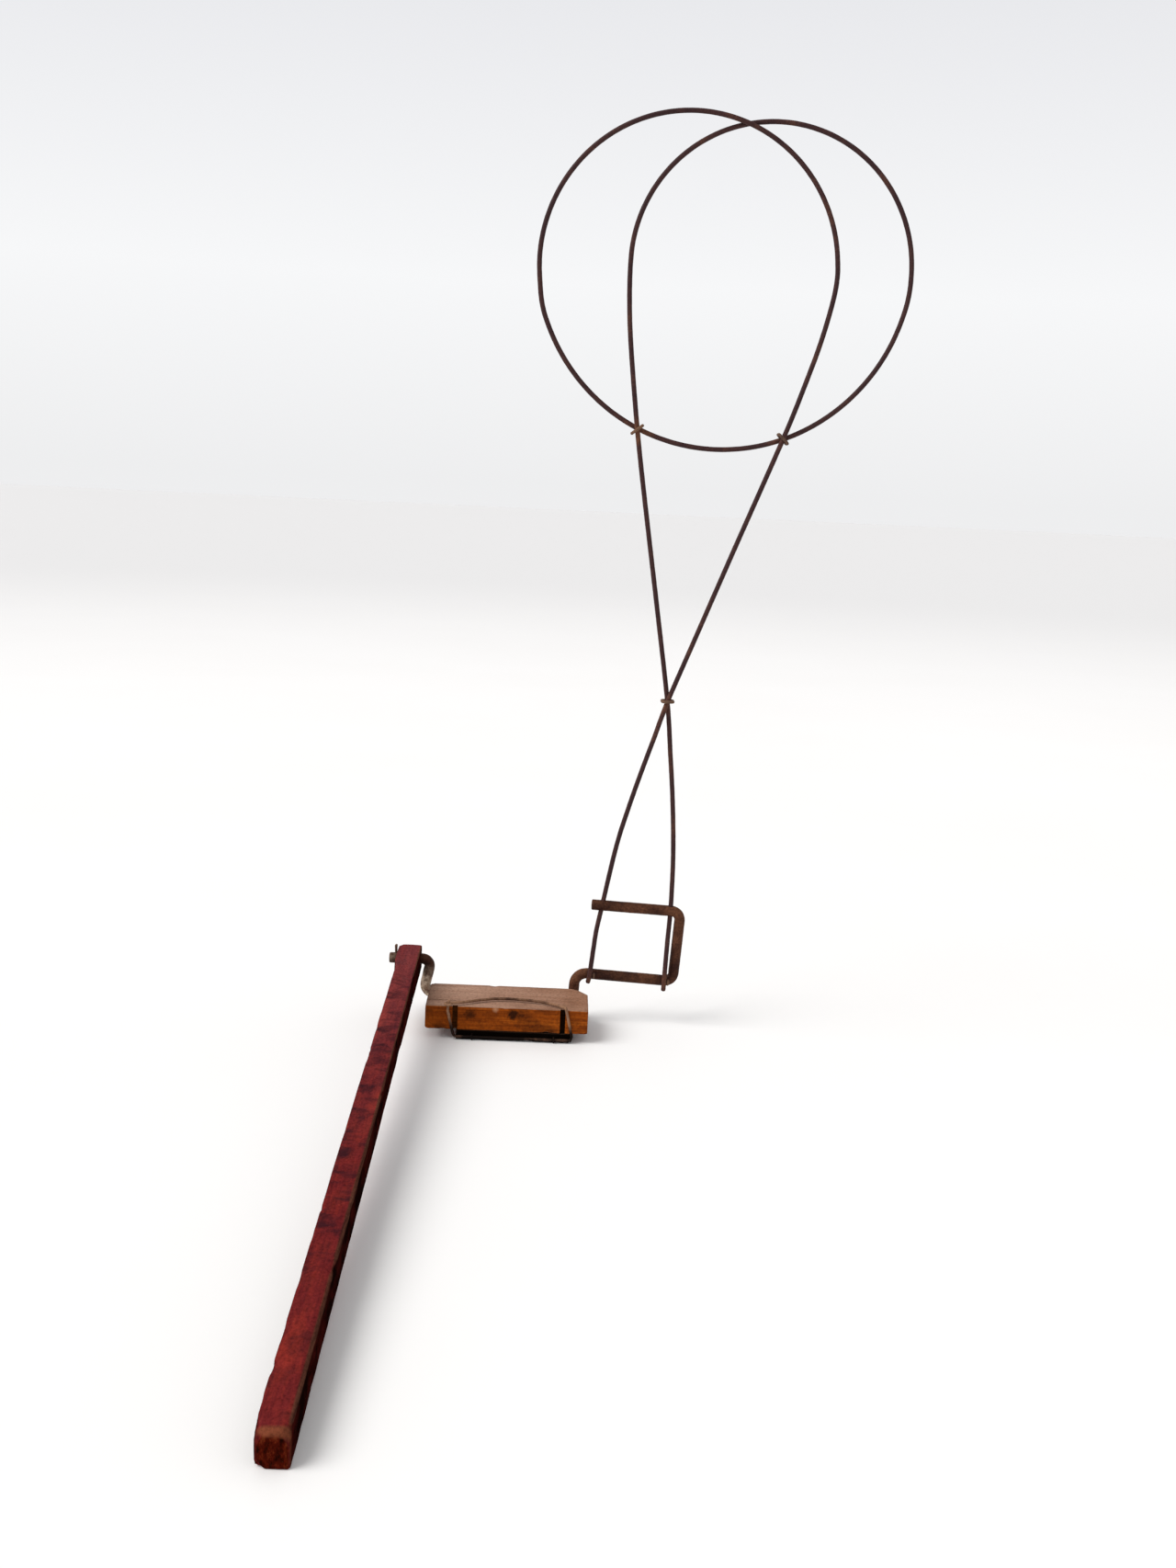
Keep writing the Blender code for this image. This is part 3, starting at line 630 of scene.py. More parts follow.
def varnished_wood(name):
    """The block: orange-brown varnish on its sides, a bleached and dirty top."""
    material, tree, coords, normal = start(name)
    fine = clouds(tree, coords, (22.0, 700.0, 700.0), detail=5.0, rough=0.6)
    broad = clouds(tree, coords, (7.0, 110.0, 110.0), distort=0.6)
    blotch = clouds(tree, coords, (38.0, 60.0, 60.0), detail=5.0, rough=0.6)
    grit = clouds(tree, coords, (420.0, 420.0, 420.0), rough=0.7)
    grain = blend(tree, 0.5, fine, broad)

    front = ramp(tree, grain, (0.36, (0.125, 0.022, 0.0012)), (0.50, (0.205, 0.041, 0.0026)),
                 (0.66, (0.31, 0.074, 0.0060)))
    stain = ramp(tree, blotch, (0.50, 0.0), (0.66, 0.80))
    front = blend(tree, stain, front, (0.060, 0.012, 0.0015))
    middle = FOOT_HIGH.z + 0.010
    for place, inner, outer, depth in (
        ((-0.0383, BLOCK_LOW.y, middle + 0.0042), 0.0015, 0.0062, 0.8),
        ((-0.0015, BLOCK_LOW.y, middle + 0.0055), 0.0028, 0.0058, 0.95),
        ((0.0065, BLOCK_LOW.y, middle + 0.0045), 0.0005, 0.0045, 0.6),
        ((-0.0640, BLOCK_LOW.y, BLOCK_LOW.z), 0.0010, 0.0080, 0.8),
        ((0.0300, BLOCK_LOW.y, BLOCK_LOW.z), 0.0010, 0.0090, 0.7),
    ):
        dark = times(tree, spot(tree, coords, place, inner, outer, grit), depth)
        front = blend(tree, dark, front, (0.022, 0.005, 0.001))
    scuff = spot(tree, coords, (-0.0165, BLOCK_LOW.y, BLOCK_HIGH.z - 0.0015), 0.0, 0.0035, grit)
    front = blend(tree, times(tree, scuff, 0.8), front, (0.42, 0.23, 0.13))

    ends = math_of(tree, "ABSOLUTE", part_of(tree, normal, "X"))
    rings = clouds(tree, coords, (90.0, 260.0, 420.0))
    end_grain = ramp(tree, rings, (0.38, (0.10, 0.020, 0.003)), (0.62, (0.30, 0.095, 0.020)))
    sides = blend(tree, ramp(tree, ends, (0.45, 0.0), (0.8, 1.0)), front, end_grain)

    top = ramp(tree, grain, (0.34, (0.235, 0.128, 0.084)), (0.50, (0.320, 0.184, 0.126)),
               (0.68, (0.42, 0.262, 0.185)))
    tint = rescale(tree, part_of(tree, coords, "X"), -0.04, BLOCK_HIGH.x, last=1.2)
    tint = times(tree, tint, blotch)
    top = blend(tree, tint, top, (0.20, 0.080, 0.036))
    grime_and_shade = ramp(tree, blotch, (0.52, 0.0), (0.76, 0.55))
    top = blend(tree, grime_and_shade, top, (0.135, 0.072, 0.048))
    rim = ramp(tree, reading(tree, "edge"), (0.35, 0.0), (0.90, 0.65))
    rim = times(tree, rim, ramp(tree, blotch, (0.36, 0.0), (0.55, 1.0)))
    top = blend(tree, rim, top, (0.075, 0.034, 0.020))

    up = part_of(tree, normal, "Z")
    facing_up = math_of(tree, "ADD", up, times(tree, grit, 0.22))
    colour = blend(tree, ramp(tree, facing_up, (0.72, 0.0), (0.92, 1.0)), sides, top)

    wear = times(tree, reading(tree, "edge"), math_of(tree, "ADD", fine, 0.20))
    colour = blend(tree, ramp(tree, wear, (0.50, 0.0), (0.66, 0.55)), colour, (0.30, 0.15, 0.075))
    dirt = ramp(tree, grit, (0.28, 0.60), (0.56, 1.10))
    colour = blend(tree, 1.0, colour, dirt, "MULTIPLY")
    rough = ramp(tree, facing_up, (0.72, 0.42), (0.92, 0.75))
    surface(tree, colour, rough, 0.04, blend(tree, 0.35, fine, grit), 0.40, 0.0004)
    return material


def dry_wood(name, dark, light, front_shade=1.0):
    """Unpainted old wood, with its grain along X; front_shade darkens the side that faces -Y as
    painted shade.
    """
    material, tree, coords, normal = start(name)
    fine = clouds(tree, coords, (18.0, 650.0, 650.0), detail=5.0, rough=0.6)
    grit = clouds(tree, coords, (380.0, 380.0, 380.0), rough=0.7)
    colour = ramp(tree, blend(tree, 0.4, fine, grit), (0.36, dark), (0.64, light))
    # Painted shade: the face towards -Y is darkened by front_shade.
    ahead = times(tree, part_of(tree, normal, "Y"), -1.0)
    colour = blend(tree, 1.0, colour, ramp(tree, ahead, (0.5, 1.0), (0.9, front_shade)), "MULTIPLY")
    surface(tree, colour, 0.85, 0.0, blend(tree, 0.4, fine, grit), 0.5, 0.0005)
    return material


def red_paint(name):
    """The lever: dark red paint, rubbed through to brown wood along its edges, with painted shade on
    its sides and a painted sheen towards its head.
    """
    material, tree, coords, normal = start(name)
    grain = clouds(tree, coords, (520.0, 14.0, 520.0), detail=5.0, rough=0.62)
    broad = clouds(tree, coords, (70.0, 9.0, 70.0), rough=0.6)
    blotch = clouds(tree, coords, (75.0, 38.0, 75.0), detail=5.0, rough=0.62, distort=0.4)
    grit = clouds(tree, coords, (600.0, 420.0, 600.0), rough=0.7)
    run = part_of(tree, coords, "Y")
    paint = ramp(tree, blend(tree, 0.40, blotch, grain), (0.34, (0.080, 0.010, 0.012)),
                 (0.50, (0.140, 0.016, 0.016)), (0.66, (0.230, 0.025, 0.017)))
    glow = ramp(tree, broad, (0.52, 0.0), (0.70, 0.85))
    paint = blend(tree, glow, paint, (0.26, 0.028, 0.018))
    dull = ramp(tree, blotch, (0.50, 0.0), (0.66, 0.75))
    paint = blend(tree, dull, paint, (0.052, 0.010, 0.012))
    # Painted sheen: a pale pink-grey cast towards the head stands in for the paint's gloss, as the
    # paint has no specular.
    painted_sheen = times(tree, rescale(tree, run, -0.42, 0.0, last=0.55), broad)
    paint = blend(tree, painted_sheen, paint, (0.150, 0.062, 0.070))

    up = part_of(tree, normal, "Z")
    on_top = ramp(tree, up, (0.80, 0.0), (0.97, 1.0))
    stains = clouds(tree, coords, (48.0, 62.0, 20.0), distort=0.6)
    stains = ramp(tree, stains, (0.46, 0.0), (0.66, 0.80))
    zone = times(tree, between(tree, run, -0.52, -0.06, 0.05), on_top)
    paint = blend(tree, times(tree, stains, zone), paint, (0.022, 0.009, 0.013))

    # Painted shade: both long sides are darkened to a near-black red-brown, standing in for the
    # shade on the lever's side.
    side = math_of(tree, "ABSOLUTE", part_of(tree, normal, "X"))
    side = ramp(tree, side, (0.55, 0.0), (0.90, 1.0))
    grime_and_shade = ramp(tree, blotch, (0.40, (0.006, 0.0015, 0.0012)), (0.70, (0.045, 0.005, 0.004)))
    paint = blend(tree, side, paint, grime_and_shade)
    end = math_of(tree, "ABSOLUTE", part_of(tree, normal, "Y"))
    speckle = clouds(tree, coords, (260.0, 260.0, 130.0), detail=6.0, rough=0.72)
    mottle = ramp(tree, speckle, (0.38, (0.012, 0.002, 0.001)), (0.54, (0.060, 0.005, 0.002)),
                  (0.68, (0.135, 0.028, 0.009)))
    paint = blend(tree, ramp(tree, end, (0.60, 0.0), (0.90, 1.0)), paint, mottle)

    bare = ramp(tree, grain, (0.36, (0.038, 0.014, 0.010)), (0.64, (0.105, 0.041, 0.025)))
    pale = rescale(tree, run, LEVER_LOW.y + 0.010, LEVER_LOW.y + 0.002)
    bare = blend(tree, pale, bare, (0.175, 0.050, 0.024))
    wear = times(tree, reading(tree, "bare"), math_of(tree, "ADD", broad, 0.55))
    colour = blend(tree, ramp(tree, wear, (0.25, 0.0), (0.95, 0.90)), paint, bare)
    fleck = ramp(tree, grit, (0.68, 0.0), (0.74, 0.5))
    colour = blend(tree, fleck, colour, (0.20, 0.080, 0.04))
    dirt = ramp(tree, grit, (0.30, 0.62), (0.58, 1.12))
    colour = blend(tree, 1.0, colour, dirt, "MULTIPLY")
    rough = ramp(tree, blotch, (0.35, 0.44), (0.70, 0.62))
    surface(tree, colour, rough, 0.0, blend(tree, 0.4, grain, grit), 0.35, 0.0004)
    return material


def pale_floor(name):
    """A plain pale floor, a little duller far away."""
    material, tree, coords, _ = start(name)
    soft = clouds(tree, coords, (1.6, 1.6, 1.6), detail=5.0)
    grit = clouds(tree, coords, (160.0, 160.0, 160.0))
    colour = ramp(tree, soft, (0.30, (0.870, 0.868, 0.865)), (0.70, (0.885, 0.885, 0.885)))
    away = add(tree, "ShaderNodeVectorMath", {0: coords}, operation="LENGTH").outputs["Value"]
    dull = rescale(tree, away, FLOOR_NEAR, FLOOR_FAR, curve="SMOOTHSTEP")
    colour = blend(tree, dull, colour, FLOOR_DULL)
    rough = ramp(tree, grit, (0.3, 0.5), (0.7, 0.62))
    surface(tree, colour, rough, 0.5, grit, 0.12, 0.0004)
    return material


# =========================== the pieces ===========================
def middle_of(node):
    """The middle of a CAD node's box."""
    low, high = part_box(node)
    return (low + high) / 2


def make_hoop_wire(wire_iron):
    """The hoop and its neck, rusty beside the clips and welds; gives its line and radius."""
    line, radius = centreline("hoop_wire")
    marks = [(middle_of(node), 0.018) for node in ("hoop_clip_left", "hoop_clip_right", "neck_clip")]
    marks += [(middle_of(node), 0.012) for node in ("tack_weld_left", "tack_weld_right")]
    mesh = tube("hoop_wire_fine", evenly(line, 0.0016)[1:-1], radius, tip=0.7, lumps=0.035,
                lump_scale=260.0, sides=16, rust=marks)
    show("hoop_wire", mesh, "crank", wire_iron)
    return line, radius


def make_small_wires(rusty, bail_iron_and_shade):
    """Clips, staples, the cotter pin and the bail."""
    for node, body, step, lumps in (
        ("hoop_clip_left", "crank", 0.0005, 0.07), ("hoop_clip_right", "crank", 0.0005, 0.07),
        ("neck_clip", "crank", 0.0005, 0.07), ("cotter_pin", "crank", 0.0005, 0.05),
        ("shaft_staple_left", "block", 0.0006, 0.05), ("shaft_staple_right", "block", 0.0006, 0.05),
        ("bail_staple_left", "block", 0.0004, 0.05), ("bail_staple_right", "block", 0.0004, 0.05),
    ):
        line, radius = centreline(node)
        # The bail's staples take the bail's material with no rust mark, so they come out near-black
        # like its shaded low part.
        dark = node.startswith("bail")
        if node == "cotter_pin":
            radius *= PIN_SWELL
        mesh = tube(f"{node}_fine", evenly(line, step), radius, tip=0.9, lumps=lumps,
                    lump_scale=420.0, seed=len(node) + line[0].x * 100.0,
                    rust=[] if dark else [(middle_of(node), 0.05)])
        show(node, mesh, body, bail_iron_and_shade if dark else rusty)
    line, radius = centreline("bail_wire")
    low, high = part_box("bail_wire")
    mesh = tube("bail_wire_fine", evenly(line, 0.0009), radius, tip=0.7, lumps=0.05,
                lump_scale=380.0, seed=4.0, flatten=0.06)
    # Painted shade: the rust mark is 0 low on the bail, so there it takes the near-black first
    # colour that stands in for the shade under the block; higher up it turns rust-brown, less so on
    # the bow.
    x, _, z = points_of(mesh).T
    bow = 1.0 - smooth_step(0.4, 0.9, np.abs(2.0 * x - low.x - high.x) / (high.x - low.x))
    brown = smooth_step(FOOT_HIGH.z, BLOCK_HIGH.z - 0.008, z) * (1.0 - 0.45 * bow)
    mesh.attributes["rust"].data.foreach_set("value", brown.astype(np.float32))
    show("bail_wire", mesh, "bail", bail_iron_and_shade)


def bar_crossings(line):
    """Where each strand passes the axis of the C's top bar, and its direction there."""
    (x0, z0), (x1, z1) = ROD_CORNERS[-1], ROD_CORNERS[-2]
    slope = (z1 - z0) / (x1 - x0)

    def over(p):
        return p.z - (SHAFT.z + z0 + (p.x - x0) * slope)

    half = len(line) // 2
    found = []
    for strand in (line[:half], line[half:]):
        low, high = sorted(sorted(strand, key=lambda p: abs(over(p)))[:2], key=lambda p: p.z)
        along = (high - low).normalized()
        found.append((low - along * (over(low) / (along.z - along.x * slope)), along))
    return found


def make_crank_rod(material, bore_iron, hoop_line, wire_radius):
    """The bent rod, with its holes for the hoop's strands and the cotter pin."""
    corners = [SHAFT + Vector((x, 0.0, z)) for x, z in ROD_CORNERS]
    low_bend = corners[2] + Vector((0.001, 0.0, 0.006))
    mesh = tube("crank_rod_fine", np.array(bent_path(corners, ROD_BENDS)), ROD_RADIUS,
                tip=0.16, lumps=0.022, lump_scale=210.0, sides=30, flatten=0.05, seed=8.0,
                rust=[(corners[4], 0.020), (corners[3], 0.025), (corners[6], 0.02)])
    points = points_of(mesh)
    # The rubbed mark is also a painted highlight: full on the lower bend, fainter on the arm and at
    # the stub's sawn end.
    rubbed = np.zeros(len(points))
    for place, inner, outer, share in (
        (low_bend, 0.008, 0.015, 1.0), ((corners[1] + corners[2]) / 2, 0.007, 0.014, 0.30),
        (corners[0], 0.004, 0.012, 0.20),
    ):
        far = np.linalg.norm(points - np.array(place), axis=1)
        rubbed = np.maximum(rubbed, share * (1.0 - smooth_step(inner, outer, far)))
    patchy = 0.95 + 1.3 * noise_at(points, 230.0, octaves=3)
    mark_points(mesh, "rubbed", rubbed * np.clip(patchy, 0.25, 1.2))

    holes = []
    for index, (centre, along) in enumerate(bar_crossings(hoop_line)):
        holes.append((f"strand_bore_{index}", wire_radius + STRAND_PLAY, centre, along))
    pin = middle_of("cotter_pin")
    holes.append(("pin_bore", PIN_BORE, Vector((pin.x, SHAFT.y, STUB.z)), Vector((0.0, 0.0, 1.0))))
    cutters = []
    for name, radius, centre, along in holes:
        cutter = rod_mesh(name, radius, centre - along * 0.012, centre + along * 0.012)
        cutter.materials.append(bore_iron)
        cutters.append(cutter)
    show("crank_rod", carve(mesh, material, cutters), "crank")


def make_welds(rusty):
    """A rippled bead in the crevice beside each strand."""
    for index, node in enumerate(("tack_weld_left", "tack_weld_right")):
        low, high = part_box(node)
        centre, half = (low + high) / 2, (high - low) / 2
        bm = bmesh.new()
        bmesh.ops.create_icosphere(bm, subdivisions=4, radius=1.0)
        layer = bm.verts.layers.float.new("rust")
        for vert in bm.verts:
            out = vert.co.copy()
            ripple = 0.05 * math.sin(11.0 * out.z + 3.0 * out.x)
            lump = 0.20 * noise.fractal(out * 1.7 + Vector((index * 5.0, 0, 0)), 0.8, 2.0, 4)
            size = 1.12 + ripple + lump
            vert.co = centre + Vector([o * h * size for o, h in zip(out, half)])
            vert[layer] = 0.8
        mesh = mesh_from(bm, f"{node}_fine")
        mesh.shade_smooth()
        show(node, mesh, "crank", rusty)


def make_nails(rusty):
    """A slightly domed, hammered head on a pointed shank."""
    for number in range(1, 5):
        node = f"foot_nail_{number}"
        low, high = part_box(node)
        head, length = (high.x - low.x) / 2, high.z - low.z
        shank = head * NAIL_SHANK
        profile = [(0.0, 0.0), (head * 0.55, 0.00005), (head * 0.88, 0.00020), (head, 0.00055),
                   (head * 0.97, 0.00095), (shank * 1.25, 0.0013), (shank, 0.0019),
                   (shank, length - 0.004), (shank * 0.55, length - 0.0015), (0.0, length)]
        bm = bmesh.new()
        ring = [bm.verts.new((r, 0.0, z)) for r, z in profile]
        chain = [bm.edges.new(pair) for pair in zip(ring, ring[1:])]
        bmesh.ops.spin(bm, geom=ring + chain, cent=(0, 0, 0), axis=(0, 0, 1), steps=28,
                       angle=2 * math.pi)
        bmesh.ops.remove_doubles(bm, verts=bm.verts, dist=WELD_DISTANCE)
        bmesh.ops.recalc_face_normals(bm, faces=bm.faces)
        layer = bm.verts.layers.float.new("rust")
        middle = middle_of(node)
        for vert in bm.verts:
            dent = 0.00012 * noise.noise(vert.co * 700.0 + Vector((number * 3.0, 0, 0)))
            vert.co += Vector((0.0, 0.0, dent)) if vert.co.z > 0.0001 else Vector()
            vert.co += Vector((middle.x, middle.y, low.z))
            vert[layer] = 0.6
        mesh = mesh_from(bm, f"{node}_fine")
        mesh.shade_smooth()
        mesh.set_sharp_from_angle(angle=NAIL_CREASE)
        show(node, mesh, "block", rusty)


def make_block(wood, worn_notch, recess_shade_wood):
    """The block, with its cut-off corner, its two saw notches and a drying crack."""
    low, high = BLOCK_LOW, BLOCK_HIGH
    outline = [(low.x, low.y), (high.x, low.y), (high.x, high.y - CHAMFER_Y),
               (high.x - CHAMFER_X, high.y), (low.x, high.y)]

    def radius_at(points):
        wander = noise_at(points, 70.0, octaves=2, seed=1.0)
        return 0.0004 + 0.0008 * smooth_step(-0.1, 0.7, wander)

    def sunk_at(points):
        swell = 0.5 + 0.5 * noise_at(points * (1.0, 2.5, 2.5), 22.0, octaves=2, seed=5.0)
        saw = 0.5 + 0.5 * noise_at(points * (0.25, 2.0, 2.0), 420.0, seed=9.0)
        return 0.00016 * swell + 0.00007 * saw

    chips = [
        ((low.x, low.y, high.z), 0.0026, 0.0006), ((low.x, low.y, low.z), 0.0030, 0.0008),
        ((high.x, low.y, low.z), 0.0030, 0.0008), ((high.x, low.y, high.z), 0.0026, 0.0006),
        ((-0.0085, low.y, high.z), 0.0028, 0.0007), ((0.0275, low.y, low.z), 0.0050, 0.0010),
        ((low.x, high.y, high.z), 0.0050, 0.0015), ((-0.020, high.y, high.z), 0.0045, 0.0009),
        ((-0.061, low.y, low.z), 0.0030, 0.0008),
        ((high.x - CHAMFER_X, high.y, high.z), 0.0038, 0.0012),
    ]
    mesh = worn_prism("block_fine", outline, low.z, high.z, (0.0022, 0.0022, 0.0018),
                      radius_at, sunk_at, chips)
    cutters = []
    for index, x in enumerate(NOTCH_X):
        cutters.append(ragged_box(
            f"notch_{index}", (x - NOTCH_WIDTH / 2, low.y - 0.004, low.z - 0.004),
            (x + NOTCH_WIDTH / 2, low.y + NOTCH_DEPTH, high.z + 0.004), seed=3.0 + index))
    crack_y = low.y + 0.0175
    crack = ragged_box("crack", (low.x - 0.002, crack_y, high.z - 0.0016),
                       (low.x + 0.025, crack_y + 0.0007, high.z + 0.001),
                       seed=6.0, step=0.0025, rough=0.00030)
    cutters.append(crack)
    # The left notch takes worn wood; the right notch and the crack take a near-black painted shade.
    for cutter, finish in zip(cutters, (worn_notch, recess_shade_wood, recess_shade_wood)):
        cutter.materials.append(finish)
    show("bearing_block", carve(mesh, wood, cutters), "block")


def make_foot(wood):
    """The dark bar under the block, with the nails' heads sunk into its underside; its front face
    carries painted shade.
    """
    low, high = FOOT_LOW, FOOT_HIGH
    outline = [(low.x, low.y), (high.x, low.y), (high.x, high.y), (low.x, high.y)]

    def radius_at(points):
        return 0.0006 + 0.0008 * smooth_step(-0.3, 0.6, noise_at(points, 60.0, 2, seed=11.0))

    def sunk_at(points):
        saw = 0.5 + 0.5 * noise_at(points * (0.25, 2.0, 2.0), 300.0, octaves=2, seed=13.0)
        return 0.00015 * saw * (points[:, 2] > low.z + 0.0005)

    chips = [((low.x, low.y, high.z), 0.0050, 0.0014), ((high.x, low.y, low.z), 0.0045, 0.0012),
             ((0.012, low.y, low.z), 0.0060, 0.0008), ((low.x, high.y, high.z), 0.0050, 0.0016)]
    mesh = worn_prism("foot_fine", outline, low.z, high.z, (0.0025, 0.0025, 0.0015),
                      radius_at, sunk_at, chips)
    cutters = []
    for number in range(1, 5):
        head_low, head_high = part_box(f"foot_nail_{number}")
        centre = (head_low + head_high) / 2
        radius = (head_high.x - head_low.x) / 2 + SINK_PLAY
        cutter = rod_mesh(f"sink_{number}", radius, (centre.x, centre.y, low.z - 0.003),
                          (centre.x, centre.y, head_low.z + 0.0016))
        cutter.materials.append(wood)
        cutters.append(cutter)
    show("foot_bar", carve(mesh, wood, cutters), "block")


def bare_wood(points, left, right, bottom, top, nose):
    """How far hands and floors have rubbed the lever's paint away at each point."""
    x, y, z = points.T
    to_right, to_left, to_top, to_low = right - x, x - left, top - z, z - bottom
    handled = 1.0 - smooth_step(nose + 0.15, nose + 0.60, y)
    band = 0.0016 + 0.0016 * handled
    grip_edge = 1.0 - smooth_step(0.5, 1.0, np.hypot(to_right, to_top) / band)
    other_edges = 0.75 * np.exp(-np.minimum.reduce([
        np.hypot(to_left, to_top), np.hypot(to_left, to_low), np.hypot(to_right, to_low)]) / 0.0006)
    corner = 0.001 + 0.002 * (1.0 - smooth_step(0.0, 0.006, to_right))
    nose_rim = 1.0 - smooth_step(0.3, 1.0, np.hypot(y - nose - corner, to_top - corner) / 0.0050)
    nose_rim += 0.5 * np.exp(-np.minimum(to_left, to_right) / 0.0014) * (y < nose + 0.004)
    return np.clip(np.maximum.reduce([grip_edge, other_edges, nose_rim]), 0.0, 1.0)


def make_lever(paint, bore_shade_wood):
    """Made along its own -Y from the stub's axis, then tipped to rest on the ground."""
    right = LEVER_HIGH.x - STUB.x
    left = right - LEVER_WIDTH
    tail, nose = LEVER_TAIL, -LEVER_REACH
    bottom, top = -UNDER_STUB, STUB_BELOW_TOP
    outline = [(right, tail), (left + 0.0034, tail), (left, tail - 0.0050),
               (left, nose + 0.0026), (left + 0.0015, nose), (right - 0.0009, nose),
               (right, nose + 0.0016)]

    def radius_at(points):
        x, y, z = points.T
        wander = noise_at(points * (1.0, 0.5, 1.0), 60.0, octaves=2, seed=21.0)
        radius = 0.0007 + 0.0009 * smooth_step(-0.35, 0.6, wander)
        handled = 1.0 - smooth_step(nose + 0.10, nose + 0.50, y)
        right_top = smooth_step(right - 0.008, right - 0.004, x) * smooth_step(0.0, 0.004, z)
        radius += right_top * (0.0006 + 0.0018 * handled)
        radius *= 1.0 - 0.4 * smooth_step(tail - 0.05, tail - 0.01, y)
        at_nose = 1.0 - smooth_step(nose + 0.006, nose + 0.016, y)
        return np.maximum(radius, at_nose * (0.0012 + 0.0044 * smooth_step(-0.001, 0.005, z)))

    def sunk_at(points):
        planed = 0.5 + 0.5 * noise_at(points * (1.0, 0.15, 1.0), 90.0, octaves=2, seed=25.0)
        dents = smooth_step(0.25, 0.7, noise_at(points * (1.0, 0.6, 1.0), 75.0, seed=27.0))
        return 0.00022 * planed + 0.00035 * dents

    chips = [
        ((left + 0.001, nose, bottom), 0.0052, 0.0024),
        ((left, nose + 0.055, top), 0.0080, 0.0009), ((right, nose + 0.16, top), 0.0120, 0.0007),
        ((right, -0.32, top), 0.0060, 0.0006), ((left, -0.24, top), 0.0050, 0.0006),
        ((right, tail, top), 0.0024, 0.0005), ((left, -0.50, top), 0.0055, 0.0006),
        ((right, -0.075, top), 0.0060, 0.0007),
    ]
    mesh = worn_prism("lever_fine", outline, bottom, top, (0.0022, 0.0026, 0.0022),
                      radius_at, sunk_at, chips)
    mark_points(mesh, "bare", bare_wood(points_of(mesh), left, right, bottom, top, nose))
    tilt = math.asin(STUB.z / math.hypot(LEVER_REACH, UNDER_STUB)) - math.atan2(
        UNDER_STUB, LEVER_REACH)
    for vert in mesh.vertices:
        across = (right - vert.co.x) / LEVER_WIDTH
        widened = smooth_step(tail - HEAD_LENGTH, tail - HEAD_LENGTH * 0.6, vert.co.y)
        vert.co.x -= HEAD_EXTRA * float(widened) * across
    mesh.transform(Matrix.Translation(STUB) @ Matrix.Rotation(tilt, 4, "X"))
    bore = rod_mesh("bore", ROD_RADIUS + STUB_PLAY, STUB - Vector((0.03, 0.0, 0.0)),
                    STUB + Vector((0.03, 0.0, 0.0)), sides=48)
    # The bore's wall is near-black painted shade.
    bore.materials.append(bore_shade_wood)
    show("push_lever", carve(mesh, paint, [bore]), "lever")


# =========================== the studio ===========================
def make_floor():
    """The floor that the object stands on."""
    bm = bmesh.new()
    bmesh.ops.create_grid(bm, x_segments=1, y_segments=1, size=FLOOR_HALF)
    mesh = mesh_from(bm, "floor")
    mesh.materials.append(pale_floor("floor_pale"))
    floor = bpy.data.objects.new("floor", mesh)
    bpy.context.scene.collection.objects.link(floor)


def make_key():
    """A soft sun from the upper left, a little in front of the object."""
    light = bpy.data.lights.new("key", "SUN")
    light.energy = KEY_STRENGTH
    light.angle = math.radians(KEY_SOFT_DEG)
    light.color = KEY_COLOUR
    obj = bpy.data.objects.new("key", light)
    bpy.context.scene.collection.objects.link(obj)
    obj.rotation_mode = "QUATERNION"
    obj.rotation_quaternion = Vector(KEY_FROM).to_track_quat("Z", "Y")


def make_world():
    """Light from all round, palest a little over the floor and darkest overhead."""
    world = bpy.data.worlds.new("studio")
    bpy.context.scene.world = world
    world.use_nodes = True
    tree = world.node_tree
    height = part_of(tree, add(tree, "ShaderNodeTexCoord").outputs["Generated"], "Z")
    sky = ramp(tree, height, *SKY_AT)
    tree.links.new(sky, tree.nodes["Background"].inputs["Color"])
    bpy.context.scene.view_settings.view_transform = "Standard"


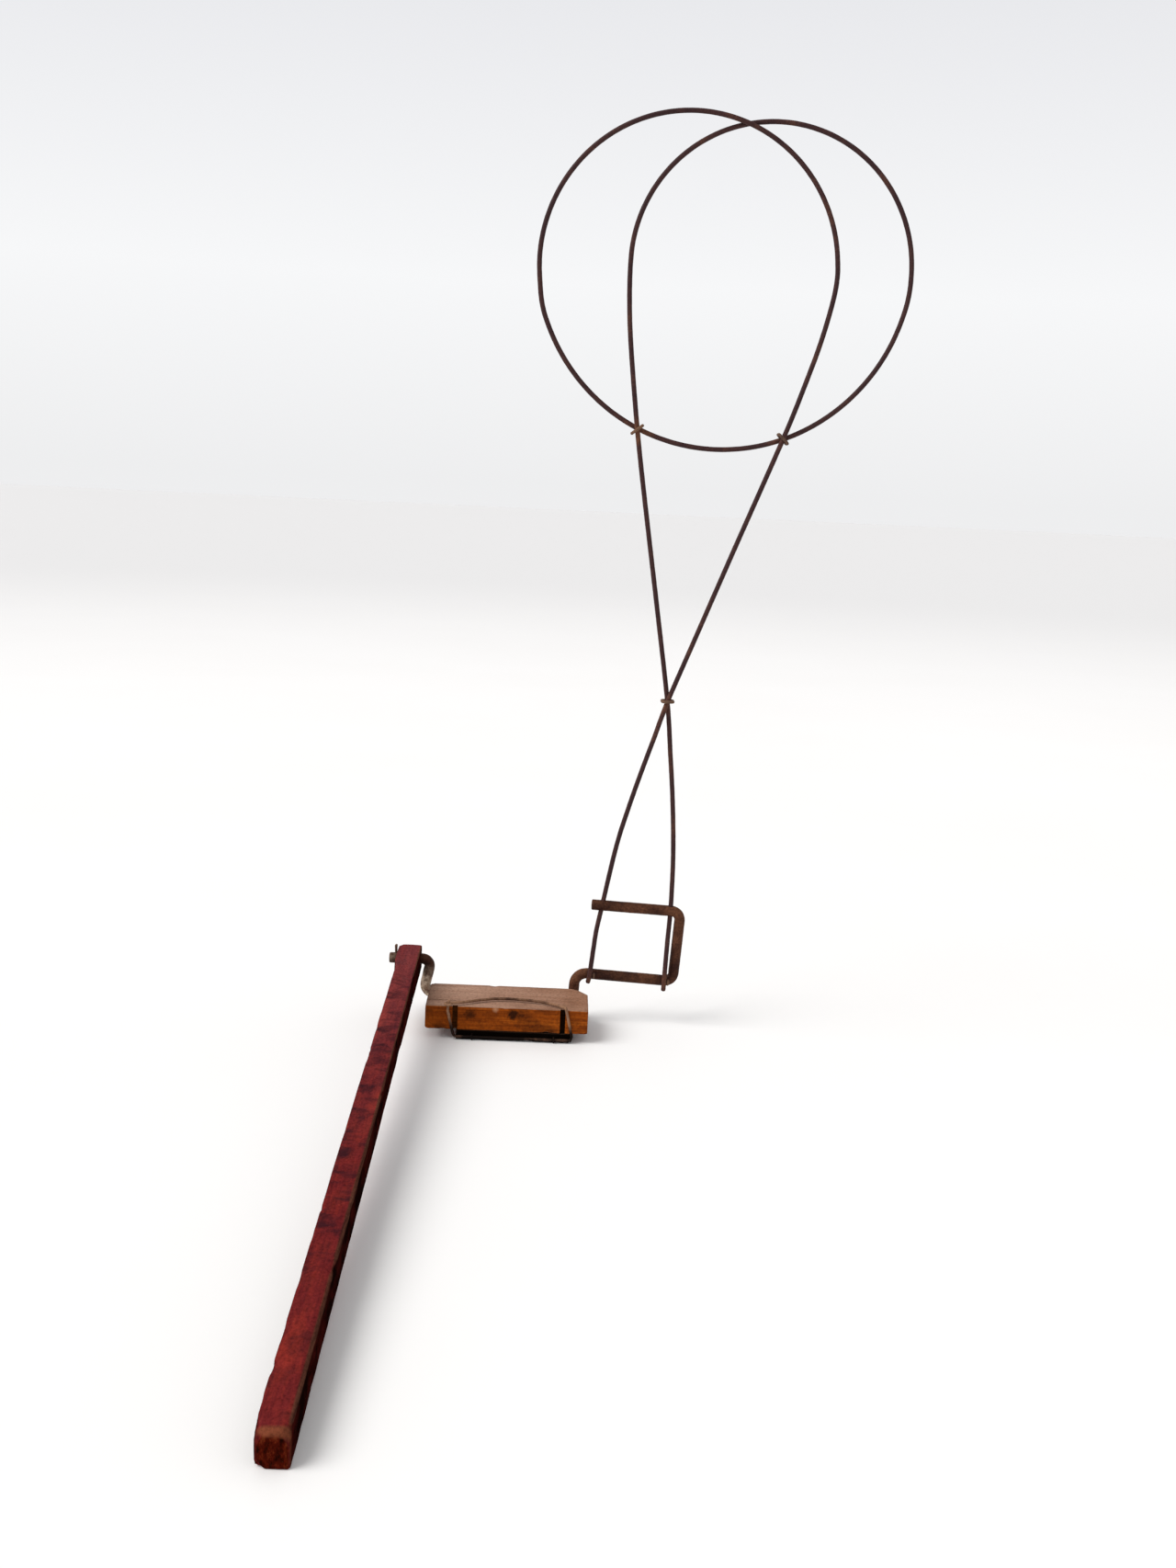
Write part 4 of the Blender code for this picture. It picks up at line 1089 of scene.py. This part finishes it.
def make_camera():
    """The camera, where the one that took the photograph was."""
    data = bpy.data.cameras.new("camera")
    data.lens = CAMERA_LENS
    data.sensor_width = CAMERA_SENSOR
    data.clip_end = CAMERA_SEES
    camera = bpy.data.objects.new("camera", data)
    bpy.context.scene.collection.objects.link(camera)
    flat = Vector((-math.sin(CAMERA_YAW), math.cos(CAMERA_YAW), 0.0))
    ahead = flat * math.cos(CAMERA_PITCH) + Vector((0.0, 0.0, -math.sin(CAMERA_PITCH)))
    right = Vector((math.cos(CAMERA_YAW), math.sin(CAMERA_YAW), 0.0))
    up = right.cross(ahead)
    rolled = Matrix.Rotation(-CAMERA_ROLL, 3, ahead)
    right, up = rolled @ right, rolled @ up
    camera.matrix_world = Matrix.Translation(CAMERA_PLACE) @ Matrix(
        (right, up, -ahead)).transposed().to_4x4()
    bpy.context.scene.camera = camera


def main():
    """Make the materials, the pieces and the studio."""
    wire_iron = iron("wire_iron_fine", (0.032, 0.012, 0.013), (0.048, 0.019, 0.017),
                     (0.115, 0.046, 0.024))
    rusty = iron("rusty_iron_fine", (0.040, 0.020, 0.014), (0.085, 0.048, 0.033),
                 (0.150, 0.080, 0.046))
    # Its near-black first colour is painted shade for the bail's low part under the block; its
    # staples get the same colour.
    bail_iron_and_shade = iron("bail_iron_and_shade_fine", (0.006, 0.003, 0.002), (0.085, 0.043, 0.027),
                     (0.250, 0.135, 0.080), bias=-0.14, specular=0.05)
    bore_iron = iron("bore_iron", (0.015, 0.008, 0.006), (0.030, 0.015, 0.010),
                     (0.05, 0.02, 0.01))
    # Painted shade: a near-black wood for the insides of the right notch, the drying crack and the
    # lever's bore.
    recess_shade_wood = dry_wood("recess_shade_wood", (0.004, 0.002, 0.001), (0.018, 0.007, 0.003))
    worn_notch = dry_wood("worn_notch", (0.020, 0.006, 0.002), (0.085, 0.024, 0.005))
    # Painted shade: the foot's front face is darkened to 0.08 of its colour.
    foot_wood_shaded = dry_wood("foot_wood_shaded", (0.010, 0.006, 0.004), (0.045, 0.026, 0.018),
                         front_shade=0.08)

    hoop_line, wire_radius = make_hoop_wire(wire_iron)
    make_small_wires(rusty, bail_iron_and_shade)
    make_crank_rod(rubbed_iron("rod_iron_fine"), bore_iron, hoop_line, wire_radius)
    make_welds(rusty)
    make_nails(rusty)
    make_block(varnished_wood("block_wood_fine"), worn_notch, recess_shade_wood)
    make_foot(foot_wood_shaded)
    make_lever(red_paint("red_paint_fine"), recess_shade_wood)

    make_floor()
    make_key()
    make_world()
    make_camera()


main()
